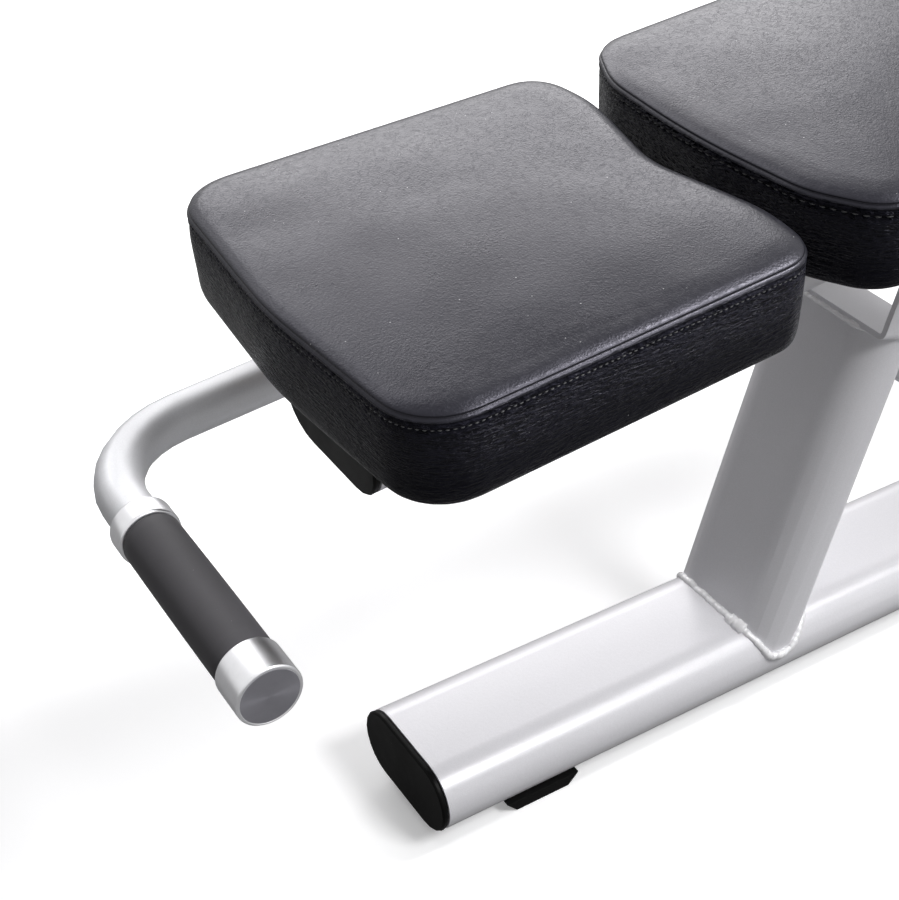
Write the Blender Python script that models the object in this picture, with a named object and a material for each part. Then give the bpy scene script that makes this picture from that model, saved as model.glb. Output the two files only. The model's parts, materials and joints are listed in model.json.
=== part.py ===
"""Adjustable abdominal bench with two pads on one tilting spine.

Metres, +Z up. The bench's length runs along Y, with the handle at the -Y end
and the leg rollers at the +Y end, and +X is the side of the lock knob. The
origin is on the floor, under the middle of the whole bench.
"""

import math

import bmesh
import bpy
from mathutils import Matrix, Vector

# Clearances between pieces
WELD_GAP = 0.0003
FIT_GAP = 0.0003
SLIDE_GAP = 0.0004

# Flat-oval steel tube of the beam, the post and the spine
TUBE_WIDTH = 0.110
TUBE_HEIGHT = 0.055
TUBE_WALL = 0.003
ROUND_STEPS = 10

# Plastic end caps
CAP_FLANGE = 0.005
CAP_INSERT = 0.022
CAP_EDGE = 0.0015

# Base beam and its front foot
BEAM_LENGTH = 1.045
FOOT_THICKNESS = 0.010
FRONT_FOOT_START = 0.054
FRONT_FOOT_LENGTH = 0.064
FRONT_FOOT_WIDTH = 0.094
FRONT_FOOT_TAPER = 0.009

# Rear cross tube, its feet and its wheels
CROSS_LENGTH = 0.520
REAR_FOOT_WIDTH = 0.060
REAR_FOOT_LENGTH = 0.080
REAR_FOOT_INSET = 0.012
REAR_FOOT_CORNER = 0.008
WHEEL_RADIUS = 0.040
WHEEL_WIDTH = 0.026
WHEEL_LIFT = 0.005
WHEEL_INSET = 0.075
WHEEL_SIDE_GAP = 0.0015
WHEEL_ROOM = 0.006
WHEEL_TREAD = 0.012
WHEEL_HUB_STEP = 0.002
WHEEL_SHOULDER = 0.004
WHEEL_SHOULDER_WIDTH = 0.005
FORK_PLATE = 0.005
FORK_HEIGHT = 0.034
AXLE_RADIUS = 0.005
AXLE_HEAD_RADIUS = 0.009
AXLE_HEAD = 0.005

# Post
POST_Y = 0.307
POST_LEAN = math.radians(15.0)
POST_LENGTH = 0.2525

# Clevis on the post and its pin
CLEVIS_PLATE = 0.0045
CLEVIS_SIDE_GAP = 0.0015
CLEVIS_RISE = 0.097
CLEVIS_BEND = 0.006
PIN_RADIUS = 0.010
PIN_HEAD_RADIUS = 0.017
PIN_HEAD = 0.009
NUT_RADIUS = 0.0172
NUT_THICKNESS = 0.012
BUSH_WALL = 0.003
BUSH_LENGTH = 0.020
BUSH_FLANGE = 0.0009
BARREL_WALL = 0.0055

# Spine, which slopes up to the rear at rest
REST_SLOPE = math.radians(5.9)
SPINE_FRONT = 0.446
SPINE_REAR = 0.723

# Clamp: slotted sector, bracket, stud, washer and star knob
CLAMP_RADIUS = 0.169
CLAMP_ANGLE = math.radians(-53.0)
TILT_RANGE = math.radians(18.0)
SECTOR_BAND = 0.040
SECTOR_PLATE = 0.010
SECTOR_END = math.radians(6.5)
SECTOR_SIDE_GAP = 0.0004
CLAMP_PLATE = 0.006
CLAMP_HEIGHT = 0.036
CLAMP_TILT = math.radians(6.0)
CLAMP_NOSE = 0.022
STUD_RADIUS = 0.006
STUD_HEAD_RADIUS = 0.011
STUD_HEAD = 0.007
WASHER_RADIUS = 0.0135
WASHER = 0.002
KNOB_LOBES = 5
KNOB_OUTER = 0.027
KNOB_INNER = 0.0215
KNOB_PLATE = 0.015
KNOB_BOSS_RADIUS = 0.013
KNOB_BOSS = 0.013
KNOB_EDGE = 0.0025
KNOB_COVER = 0.003

# Pads: plan sizes, then the section
PAD_BAR_THICKNESS = 0.010
PAD_BAR_LENGTH = 0.210
PAD_BAR_WIDTH = 0.040
PAD_BAR_CORNER = 0.010
PAD_BOLT_X = 0.085
PAD_BOLT_RADIUS = 0.004
PAD_BOLT_HEAD = 0.0065
PAD_BOLT_HEAD_HEIGHT = 0.005
PAD_BOLT_DEPTH = 0.011
PAD_THICKNESS = 0.058
PAD_CROWN = 0.009
PAD_RAKE = 0.003
PAD_LOWER_EDGE = 0.003
PAD_SEAM_DROP = 0.002
PAD_SEAM_ROLL = 0.0015
PAD_SEAM_RISE = 0.001
PAD_SHOULDER_IN = 0.006
PAD_SHOULDER_SHARE = 0.32
BOARD_THICKNESS = 0.015
BOARD_INSET = 0.013

FRONT_PAD_START = -0.4764
FRONT_PAD_LENGTH = 0.279
FRONT_PAD_HALF_FRONT = 0.1472
FRONT_PAD_HALF_REAR = 0.1395
FRONT_PAD_BOW = 0.011
FRONT_PAD_NOTCH = 0.019
FRONT_PAD_FRONT_CORNER = 0.038
FRONT_PAD_REAR_CORNER = 0.026
FRONT_PAD_NOSE_ROUND = 0.300
FRONT_PAD_EAR_X = 0.088
FRONT_PAD_EAR = 0.003
FRONT_PAD_EAR_ROUND = 0.120
FRONT_PAD_NOTCH_ROUND = 0.080
FRONT_PAD_BAR_AHEAD = 0.0764
FRONT_PAD_BAR_BEHIND = 0.0726

PAD_GAP = 0.038
REAR_PAD_LENGTH = 0.820
REAR_PAD_HALF = 0.1430
REAR_PAD_BOW = 0.007
REAR_PAD_SHOULDER = 0.0305
REAR_PAD_CORNER = 0.034
REAR_PAD_END_CORNER = 0.045
REAR_PAD_NOSE_ROUND = 0.600
REAR_PAD_FACET_X = 0.094
REAR_PAD_FACET_ROUND = 0.080
REAR_PAD_BAR_AHEAD = 0.1184
REAR_PAD_BAR_BEHIND = 0.1216

# Handle
HANDLE_RADIUS = 0.0159
HANDLE_WALL = 0.0026
HANDLE_X = -0.126
HANDLE_AHEAD = 0.0873
HANDLE_DROP = 0.0443
HANDLE_BEND = 0.062
HANDLE_CROSS = -0.235
HANDLE_CROSS_END = 0.020
SADDLE_WIDTH = 0.020
SADDLE_INSET = 0.004
GRIP_START = -0.0267
GRIP_END = 0.1015
GRIP_RADIUS = 0.0189
COLLAR_RADIUS = 0.0202
COLLAR_LENGTH = 0.0170
HANDLE_CAP_LENGTH = 0.0270
HANDLE_CAP_FACE = 0.007
HANDLE_TIP_GAP = 0.002
CHAMFER = 0.0012

# Leg column and rollers
COLUMN_WIDTH = 0.076
COLUMN_DEPTH = 0.040
COLUMN_WALL = 0.0025
COLUMN_LEAN = math.radians(16.0)
COLUMN_TOP = 0.162
COLUMN_BOTTOM = 0.272
COLUMN_CAP_ROOM = 0.003
END_PLATE = 0.005
KNEE_RISE = 0.135
ANKLE_DROP = 0.245
ROLLER_RADIUS = 0.055
ROLLER_LENGTH = 0.170
ROLLER_ROUND = 0.016
ROLLER_SIDE_GAP = 0.008
ROLLER_CAP_GAP = 0.0015
ROLLER_AXLE_RADIUS = 0.0125
ROLLER_CAP_RADIUS = 0.031
ROLLER_CAP_LENGTH = 0.009

# Places worked out from the sizes above
HALF_WIDTH = TUBE_WIDTH / 2
HALF_HEIGHT = TUBE_HEIGHT / 2
BEAM_MIDDLE = FOOT_THICKNESS + WELD_GAP + HALF_HEIGHT
BEAM_TOP = BEAM_MIDDLE + HALF_HEIGHT
CROSS_Y = BEAM_LENGTH + HALF_WIDTH
WHEEL_X = CROSS_LENGTH / 2 - WHEEL_INSET
PIVOT_REACH = POST_LENGTH + CLEVIS_RISE
PIVOT_Y = POST_Y + PIVOT_REACH * math.sin(POST_LEAN)
PIVOT_Z = BEAM_TOP + PIVOT_REACH * math.cos(POST_LEAN)
CLEVIS_INNER = HALF_WIDTH + CLEVIS_SIDE_GAP
CLEVIS_HALF = CLEVIS_INNER + CLEVIS_PLATE
PAD_BOTTOM = HALF_HEIGHT + PAD_BAR_THICKNESS + 2 * WELD_GAP
FRONT_PAD_END = FRONT_PAD_START + FRONT_PAD_LENGTH
REAR_PAD_START = FRONT_PAD_END - FRONT_PAD_NOTCH + PAD_GAP
REAR_PAD_END = REAR_PAD_START + REAR_PAD_LENGTH
FRONT_PAD_BARS = (FRONT_PAD_START + FRONT_PAD_BAR_AHEAD, FRONT_PAD_END - FRONT_PAD_BAR_BEHIND)
REAR_PAD_BARS = (REAR_PAD_START + REAR_PAD_BAR_AHEAD, REAR_PAD_END - REAR_PAD_BAR_BEHIND)
GRIP_Y = FRONT_PAD_START - HANDLE_AHEAD
BUSH_RADIUS = PIN_RADIUS + FIT_GAP + BUSH_WALL
BARREL_RADIUS = BUSH_RADIUS + FIT_GAP + BARREL_WALL
COLUMN_SHIFT = (WELD_GAP + END_PLATE + WELD_GAP + COLUMN_DEPTH / 2) / math.cos(COLUMN_LEAN)
COLUMN_Y = SPINE_REAR + COLUMN_SHIFT
ROLLER_START = COLUMN_WIDTH / 2 + ROLLER_SIDE_GAP
ROLLER_END = ROLLER_START + ROLLER_LENGTH


def on_slope(along, above):
    """Y and Z, from the front end of the beam, of a point given along and above the spine's axis."""
    y = PIVOT_Y + along * math.cos(REST_SLOPE) - above * math.sin(REST_SLOPE)
    z = PIVOT_Z + along * math.sin(REST_SLOPE) + above * math.cos(REST_SLOPE)
    return y, z


ANKLE_ALONG = COLUMN_Y + ANKLE_DROP * math.sin(COLUMN_LEAN)
ANKLE_ABOVE = -ANKLE_DROP * math.cos(COLUMN_LEAN)
FRONT_REACH = on_slope(GRIP_Y, -HANDLE_DROP)[0] - COLLAR_RADIUS
REAR_REACH = on_slope(ANKLE_ALONG, ANKLE_ABOVE)[0] + ROLLER_RADIUS
MIDDLE_Y = (FRONT_REACH + REAR_REACH) / 2

for old in list(bpy.data.objects):
    bpy.data.objects.remove(old)

PARTS = bpy.data.collections.new("abdominal_bench")
CUTTERS = bpy.data.collections.new("cutters")
bpy.context.scene.collection.children.link(PARTS)
bpy.context.scene.collection.children.link(CUTTERS)


def finish(name, colour, roughness, metallic=0.0):
    made = bpy.data.materials.new(name)
    made.use_nodes = True
    shader = made.node_tree.nodes["Principled BSDF"]
    shader.inputs["Base Color"].default_value = (*colour, 1.0)
    shader.inputs["Roughness"].default_value = roughness
    shader.inputs["Metallic"].default_value = metallic
    made.diffuse_color = (*colour, 1.0)
    return made


SILVER = finish("silver_paint", (0.72, 0.72, 0.75), 0.35, 0.4)
STEEL = finish("plated_steel", (0.55, 0.56, 0.58), 0.30, 1.0)
ALUMINIUM = finish("turned_aluminium", (0.80, 0.80, 0.82), 0.22, 1.0)
LEATHERETTE = finish("black_leatherette", (0.025, 0.025, 0.030), 0.45)
RUBBER = finish("grip_rubber", (0.07, 0.07, 0.075), 0.70)
PLASTIC = finish("black_plastic", (0.012, 0.012, 0.014), 0.25)
NYLON = finish("nylon", (0.60, 0.60, 0.56), 0.50)
PLYWOOD = finish("plywood", (0.45, 0.33, 0.20), 0.70)


def empty(name, place, parent=None, turn=0.0):
    """An empty that carries pieces, turned about X."""
    holder = bpy.data.objects.new(name, None)
    PARTS.objects.link(holder)
    holder.parent = parent
    holder.location = place
    holder.rotation_euler = (turn, 0.0, 0.0)
    return holder


def add_piece(obj, parent, material):
    PARTS.objects.link(obj)
    obj.parent = parent
    obj.data.materials.clear()
    obj.data.materials.append(material)
    return obj


def shade(obj, angle=35.0):
    obj.data.shade_smooth()
    obj.data.set_sharp_from_angle(angle=math.radians(angle))


def mesh_object(name, bm, place=(0.0, 0.0, 0.0), turn=(0.0, 0.0, 0.0)):
    bmesh.ops.recalc_face_normals(bm, faces=bm.faces)
    mesh = bpy.data.meshes.new(name)
    bm.to_mesh(mesh)
    bm.free()
    made = bpy.data.objects.new(name, mesh)
    made.location = place
    made.rotation_euler = turn
    return made


def obround(width, height, steps=ROUND_STEPS):
    """Outline of a flat oval, counter-clockwise."""
    radius = height / 2
    flat = width / 2 - radius
    points = []
    for side in (1, -1):
        for i in range(steps + 1):
            angle = math.pi * (i / steps - 0.5)
            points.append((side * (flat + radius * math.cos(angle)), side * radius * math.sin(angle)))
    return points


def rounded(corners, steps=6):
    """Outline through corners given as (x, y, radius), with an arc at each corner."""
    points = []
    count = len(corners)
    for i, (x, y, radius) in enumerate(corners):
        here = Vector((x, y))
        before = (Vector(corners[i - 1][:2]) - here).normalized()
        after = (Vector(corners[(i + 1) % count][:2]) - here).normalized()
        half = before.angle(after) / 2
        if radius <= 0.0:
            points.append((x, y))
            continue
        reach = radius / math.tan(half)
        centre = here + (before + after).normalized() * radius / math.sin(half)
        first = here + before * reach - centre
        sweep = first.angle_signed(here + after * reach - centre)
        for k in range(steps + 1):
            angle = -sweep * k / steps
            turned = Vector((first.x * math.cos(angle) - first.y * math.sin(angle),
                             first.x * math.sin(angle) + first.y * math.cos(angle)))
            points.append(tuple(centre + turned))
    return points


def rounded_rectangle(width, length, radius, steps):
    x, y = width / 2, length / 2
    return rounded([(-x, -y, radius), (x, -y, radius), (x, y, radius), (-x, y, radius)], steps)


def slab(name, outlines, thickness, place=(0.0, 0.0, 0.0), turn=(0.0, 0.0, 0.0), edge=0.0):
    """A mesh plate from flat outlines, the first the rim and the rest holes, as thick as told about Z = 0."""
    curve = bpy.data.curves.new(name, "CURVE")
    curve.dimensions = "2D"
    curve.fill_mode = "BOTH"
    curve.extrude = thickness / 2 - edge
    curve.bevel_depth = edge
    curve.bevel_resolution = 1
    curve.offset = -edge
    for outline in outlines:
        spline = curve.splines.new("POLY")
        spline.points.add(len(outline) - 1)
        for point, (x, y) in zip(spline.points, outline):
            point.co = (x, y, 0.0, 1.0)
        spline.use_cyclic_u = True
    made = as_mesh(bpy.data.objects.new(name, curve))
    made.location = place
    made.rotation_euler = turn
    return made


def as_mesh(curve_object):
    """The curve's evaluated shape as a closed mesh object of the same name."""
    name = curve_object.name
    curve = curve_object.data
    CUTTERS.objects.link(curve_object)
    bpy.context.view_layer.update()
    graph = bpy.context.evaluated_depsgraph_get()
    mesh = bpy.data.meshes.new_from_object(curve_object.evaluated_get(graph))
    bm = bmesh.new()
    bm.from_mesh(mesh)
    bmesh.ops.remove_doubles(bm, verts=bm.verts, dist=1e-6)
    bmesh.ops.recalc_face_normals(bm, faces=bm.faces)
    bm.to_mesh(mesh)
    bm.free()
    made = bpy.data.objects.new(name, mesh)
    made.matrix_world = curve_object.matrix_world
    bpy.data.objects.remove(curve_object)
    bpy.data.curves.remove(curve)
    made.name = name
    return made


def box(name, low, high):
    bm = bmesh.new()
    bmesh.ops.create_cube(bm, size=1.0)
    size = [b - a for a, b in zip(low, high)]
    bmesh.ops.scale(bm, vec=size, verts=bm.verts)
    bmesh.ops.translate(bm, vec=[(a + b) / 2 for a, b in zip(low, high)], verts=bm.verts)
    return mesh_object(name, bm)


def rod(name, radius, start, end, axis="X", centre=(0.0, 0.0), sides=24):
    """A cylinder from start to end along an axis, through a centre given on the other two axes."""
    bm = bmesh.new()
    length = end - start
    bmesh.ops.create_cone(bm, cap_ends=True, segments=sides, radius1=radius, radius2=radius, depth=length)
    middle = (start + end) / 2
    if axis == "X":
        bmesh.ops.rotate(bm, matrix=Matrix.Rotation(math.pi / 2, 3, "Y"), verts=bm.verts)
        place = (middle, *centre)
    elif axis == "Y":
        bmesh.ops.rotate(bm, matrix=Matrix.Rotation(math.pi / 2, 3, "X"), verts=bm.verts)
        place = (centre[0], middle, centre[1])
    else:
        place = (*centre, middle)
    bmesh.ops.translate(bm, vec=place, verts=bm.verts)
    return mesh_object(name, bm)


def turned(name, profile, steps=32):
    """A closed profile of (radius, x) points turned about the X axis."""
    bm = bmesh.new()
    ring = [bm.verts.new((x, radius, 0.0)) for radius, x in profile]
    for a, b in zip(ring, ring[1:] + ring[:1]):
        if a.co.y > 0.0 or b.co.y > 0.0:
            bm.edges.new((a, b))
    bmesh.ops.spin(bm, geom=bm.verts[:] + bm.edges[:], cent=(0.0, 0.0, 0.0), axis=(1.0, 0.0, 0.0),
                   angle=2 * math.pi, steps=steps, use_duplicate=False)
    bmesh.ops.remove_doubles(bm, verts=bm.verts, dist=1e-7)
    made = mesh_object(name, bm)
    shade(made)
    return made


def cut(target, *tools, operation="DIFFERENCE"):
    """Cut the tools from the target, or join them to it, in the target's own space."""
    for tool in tools:
        CUTTERS.objects.link(tool)
        tool.parent = target
        tool.hide_render = True
        tool.display_type = "WIRE"
        step = target.modifiers.new(tool.name, "BOOLEAN")
        step.operation = operation
        step.object = tool
    return target


def join(target, *tools):
    return cut(target, *tools, operation="UNION")


def tube(name, width, height, wall, length):
    """A flat-oval tube along Z, its length centred on the origin."""
    made = slab(name, [obround(width, height), obround(width - 2 * wall, height - 2 * wall)], length)
    shade(made)
    return made


def end_cap(name, width, height, wall, hole_depth=CAP_INSERT):
    """A flat-oval plug: its flange rises from Z = 0 and its insert goes down into the tube."""
    flange = slab(name, [obround(width, height)], CAP_FLANGE, edge=CAP_EDGE)
    flange.data.transform(Matrix.Translation((0.0, 0.0, WELD_GAP + CAP_FLANGE / 2)))
    loose = 2 * (wall + FIT_GAP)
    insert = slab(name + "_insert", [obround(width - loose, height - loose)], hole_depth + CAP_EDGE)
    insert.data.transform(Matrix.Translation((0.0, 0.0, (CAP_EDGE - hole_depth) / 2 + WELD_GAP)))
    join(flange, insert)
    shade(flange)
    return flange


BENCH = empty("bench", (0.0, -MIDDLE_Y, 0.0))
SPINE = empty("tilting_frame", (0.0, PIVOT_Y, PIVOT_Z), BENCH, REST_SLOPE)
ALONG_Y = (math.pi / 2, 0.0, 0.0)
ALONG_MINUS_Y = (-math.pi / 2, 0.0, 0.0)
ACROSS = (math.pi / 2, 0.0, math.pi / 2)


def beam_outline_tool(name, gap):
    """The beam's outer shape, grown by a gap, for coping what stands on it."""
    tool = slab(name, [obround(TUBE_WIDTH + 2 * gap, TUBE_HEIGHT + 2 * gap)], BEAM_LENGTH)
    tool.data.transform(Matrix.Rotation(math.pi / 2, 4, "X"))
    return tool


def make_base():
    """Beam, cross tube, caps and feet."""
    beam = tube("base_beam", TUBE_WIDTH, TUBE_HEIGHT, TUBE_WALL, BEAM_LENGTH + HALF_HEIGHT)
    beam.location = (0.0, (BEAM_LENGTH + HALF_HEIGHT) / 2, BEAM_MIDDLE)
    beam.rotation_euler = ALONG_Y
    cope = slab("beam_cope", [obround(TUBE_WIDTH + 2 * WELD_GAP, TUBE_HEIGHT + 2 * WELD_GAP)], 2 * TUBE_WIDTH)
    cope.data.transform(Matrix.Rotation(math.pi / 2, 4, "Y"))
    cope.location = (0.0, 0.0, -(CROSS_Y - beam.location.y))
    cut(beam, cope)
    add_piece(beam, BENCH, SILVER)

    cap = end_cap("base_front_cap", TUBE_WIDTH, TUBE_HEIGHT, TUBE_WALL)
    cap.location = (0.0, 0.0, BEAM_MIDDLE)
    cap.rotation_euler = ALONG_Y
    add_piece(cap, BENCH, PLASTIC)

    start = FRONT_FOOT_START
    end = start + FRONT_FOOT_LENGTH
    profile = [(start + FRONT_FOOT_TAPER, 0.0), (end - FRONT_FOOT_TAPER, 0.0),
               (end, FOOT_THICKNESS), (start, FOOT_THICKNESS)]
    foot = slab("front_foot", [profile], FRONT_FOOT_WIDTH, turn=ACROSS)
    add_piece(foot, BENCH, RUBBER)

    cross = tube("rear_cross_tube", TUBE_WIDTH, TUBE_HEIGHT, TUBE_WALL, CROSS_LENGTH)
    cross.data.transform(Matrix.Rotation(math.pi / 2, 4, "Z"))
    cross.location = (0.0, CROSS_Y, BEAM_MIDDLE)
    cross.rotation_euler = (0.0, math.pi / 2, 0.0)
    add_piece(cross, BENCH, SILVER)
    for side, tag in ((1, "right"), (-1, "left")):
        cap = end_cap("rear_cap_" + tag, TUBE_WIDTH, TUBE_HEIGHT, TUBE_WALL)
        cap.data.transform(Matrix.Rotation(math.pi / 2, 4, "Z"))
        for step in cap.modifiers:
            step.object.data.transform(Matrix.Rotation(math.pi / 2, 4, "Z"))
        cap.location = (side * CROSS_LENGTH / 2, CROSS_Y, BEAM_MIDDLE)
        cap.rotation_euler = (0.0, side * math.pi / 2, 0.0)
        add_piece(cap, BENCH, PLASTIC)
        outer = CROSS_LENGTH / 2 - REAR_FOOT_INSET
        middle = side * (outer - REAR_FOOT_WIDTH / 2)
        outline = rounded_rectangle(REAR_FOOT_WIDTH, REAR_FOOT_LENGTH, REAR_FOOT_CORNER, 3)
        foot = slab("rear_foot_" + tag, [outline], FOOT_THICKNESS, (middle, CROSS_Y, FOOT_THICKNESS / 2))
        cut(foot, cross_tool("foot_cope_" + tag, foot.location))
        add_piece(foot, BENCH, RUBBER)


def cross_tool(name, place):
    """The rear cross tube's outer shape with its weld gap, seen from a piece at a place."""
    tool = slab(name, [obround(TUBE_WIDTH + 2 * WELD_GAP, TUBE_HEIGHT + 2 * WELD_GAP)], CROSS_LENGTH)
    tool.data.transform(Matrix.Rotation(math.pi / 2, 4, "Z"))
    tool.data.transform(Matrix.Rotation(math.pi / 2, 4, "Y"))
    tool.location = (-place[0], CROSS_Y - place[1], BEAM_MIDDLE - place[2])
    return tool


def make_wheels():
    """Two wheels in forks behind the cross tube, which roll when the handle end is lifted."""
    inside = WHEEL_WIDTH / 2 + WHEEL_SIDE_GAP
    outside = inside + FORK_PLATE
    web = CROSS_Y + HALF_WIDTH + WELD_GAP
    axle_y = web + FORK_PLATE + WHEEL_ROOM + WHEEL_RADIUS
    axle_z = WHEEL_RADIUS + WHEEL_LIFT
    tip = axle_y + FORK_HEIGHT / 2
    for side, tag in ((1, "right"), (-1, "left")):
        centre = side * WHEEL_X
        outline = [(-outside, web), (outside, web), (outside, tip), (inside, tip), (inside, web + FORK_PLATE),
                   (-inside, web + FORK_PLATE), (-inside, tip), (-outside, tip)]
        fork = slab("wheel_fork_" + tag, [outline], FORK_HEIGHT, (centre, 0.0, axle_z))
        hole = rod("fork_hole_" + tag, AXLE_RADIUS + FIT_GAP, -2 * outside, 2 * outside, "X", (axle_y, 0.0))
        cut(fork, hole)
        add_piece(fork, BENCH, SILVER)

        half = WHEEL_WIDTH / 2
        hub = AXLE_RADIUS + FIT_GAP
        rim = WHEEL_RADIUS - WHEEL_TREAD
        shoulder = WHEEL_RADIUS - WHEEL_SHOULDER
        face = half - WHEEL_HUB_STEP
        tread = face - WHEEL_SHOULDER_WIDTH
        near_half = [(hub, -half), (rim, -half), (rim, -face), (shoulder, -face), (WHEEL_RADIUS, -tread)]
        profile = near_half + [(r, -x) for r, x in reversed(near_half)]
        wheel = turned("wheel_" + tag, profile, 32)
        wheel.location = (centre, axle_y, axle_z)
        add_piece(wheel, BENCH, RUBBER)

        far = outside + FIT_GAP
        near_half = [(0.0, -far - AXLE_HEAD), (AXLE_HEAD_RADIUS * 0.8, -far - AXLE_HEAD),
                     (AXLE_HEAD_RADIUS, -far - AXLE_HEAD * 0.6), (AXLE_HEAD_RADIUS, -far),
                     (AXLE_RADIUS, -far)]
        profile = near_half + [(r, -x) for r, x in reversed(near_half)]
        axle = turned("wheel_axle_" + tag, profile, 18)
        axle.location = (centre, axle_y, axle_z)
        add_piece(axle, BENCH, STEEL)


def make_post():
    """The leaning post, coped over the beam's shoulders, and the clevis on its square top."""
    foot_extra = TUBE_HEIGHT
    length = POST_LENGTH + foot_extra
    post = tube("post", TUBE_WIDTH, TUBE_HEIGHT, TUBE_WALL, length)
    post.data.transform(Matrix.Translation((0.0, 0.0, POST_LENGTH - length / 2)))
    post.location = (0.0, POST_Y, BEAM_TOP)
    post.rotation_euler = (-POST_LEAN, 0.0, 0.0)
    cope = beam_outline_tool("post_cope", WELD_GAP)
    half_length = BEAM_LENGTH / 2
    lower = box("post_below", (-TUBE_WIDTH, -half_length, -2 * TUBE_HEIGHT), (TUBE_WIDTH, half_length, 0.0))
    for tool in (cope, lower):
        tool.data.transform(Matrix.Translation((0.0, 0.0, -HALF_HEIGHT)))
        tool.data.transform(Matrix.Rotation(POST_LEAN, 4, "X"))
    cut(post, cope, lower)
    add_piece(post, BENCH, SILVER)
    return post


def make_clevis(post):
    """A U of bent plate: its web on the post's top, its cheeks on both sides of the spine."""
    outer = CLEVIS_HALF
    inner = CLEVIS_INNER
    low = WELD_GAP
    web = low + CLEVIS_PLATE
    untrimmed = CLEVIS_RISE + TUBE_HEIGHT
    inner_bend = CLEVIS_BEND - CLEVIS_PLATE
    outline = rounded([(outer, untrimmed, 0.0), (inner, untrimmed, 0.0),
                       (inner, web, inner_bend), (-inner, web, inner_bend),
                       (-inner, untrimmed, 0.0), (-outer, untrimmed, 0.0),
                       (-outer, low, CLEVIS_BEND), (outer, low, CLEVIS_BEND)], 4)
    clevis = slab("post_clevis", [outline], TUBE_HEIGHT)
    clevis.data.transform(Matrix.Rotation(math.pi / 2, 4, "X"))
    seat_y = POST_Y + POST_LENGTH * math.sin(POST_LEAN)
    seat_z = BEAM_TOP + POST_LENGTH * math.cos(POST_LEAN)
    clevis.location = (0.0, seat_y, seat_z)
    clevis.rotation_euler = (-POST_LEAN, 0.0, 0.0)
    outline = [(-TUBE_WIDTH, CLEVIS_RISE)]
    for i in range(13):
        angle = math.pi * i / 12
        outline.append((-HALF_HEIGHT * math.cos(angle), CLEVIS_RISE + HALF_HEIGHT * math.sin(angle)))
    outline += [(TUBE_WIDTH, CLEVIS_RISE), (TUBE_WIDTH, 2 * CLEVIS_RISE), (-TUBE_WIDTH, 2 * CLEVIS_RISE)]
    trim = slab("clevis_round", [outline], 2 * TUBE_WIDTH)
    trim.data.transform(Matrix.Rotation(math.pi / 2, 4, "X"))
    trim.data.transform(Matrix.Rotation(math.pi / 2, 4, "Z"))
    hole = rod("clevis_hole", PIN_RADIUS + FIT_GAP, -TUBE_WIDTH, TUBE_WIDTH, "X", (0.0, CLEVIS_RISE))
    cut(clevis, trim, hole)
    shade(clevis)
    add_piece(clevis, BENCH, SILVER)

    head = CLEVIS_HALF + FIT_GAP
    tip = -head - NUT_THICKNESS * 0.6
    end = head + PIN_HEAD
    profile = [(0.0, tip), (PIN_RADIUS, tip), (PIN_RADIUS, head), (PIN_HEAD_RADIUS, head),
               (PIN_HEAD_RADIUS, head + PIN_HEAD * 0.5), (PIN_HEAD_RADIUS * 0.75, end), (0.0, end)]
    pin = turned("pivot_pin", profile, 24)
    pin.location = (0.0, PIVOT_Y, PIVOT_Z)
    add_piece(pin, BENCH, STEEL)
    nut = rod("pivot_nut", NUT_RADIUS, -head - NUT_THICKNESS, -head, "X", sides=6)
    bore = rod("nut_bore", PIN_RADIUS + FIT_GAP, -head - NUT_THICKNESS * 0.7, 0.0, "X")
    cut(nut, bore)
    nut.location = (0.0, PIVOT_Y, PIVOT_Z)
    add_piece(nut, BENCH, STEEL)


def on_arc(radius, angle):
    """A point of the sector on the spine's own axes, at an angle from them about the pivot."""
    return radius * math.cos(angle), radius * math.sin(angle)


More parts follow.
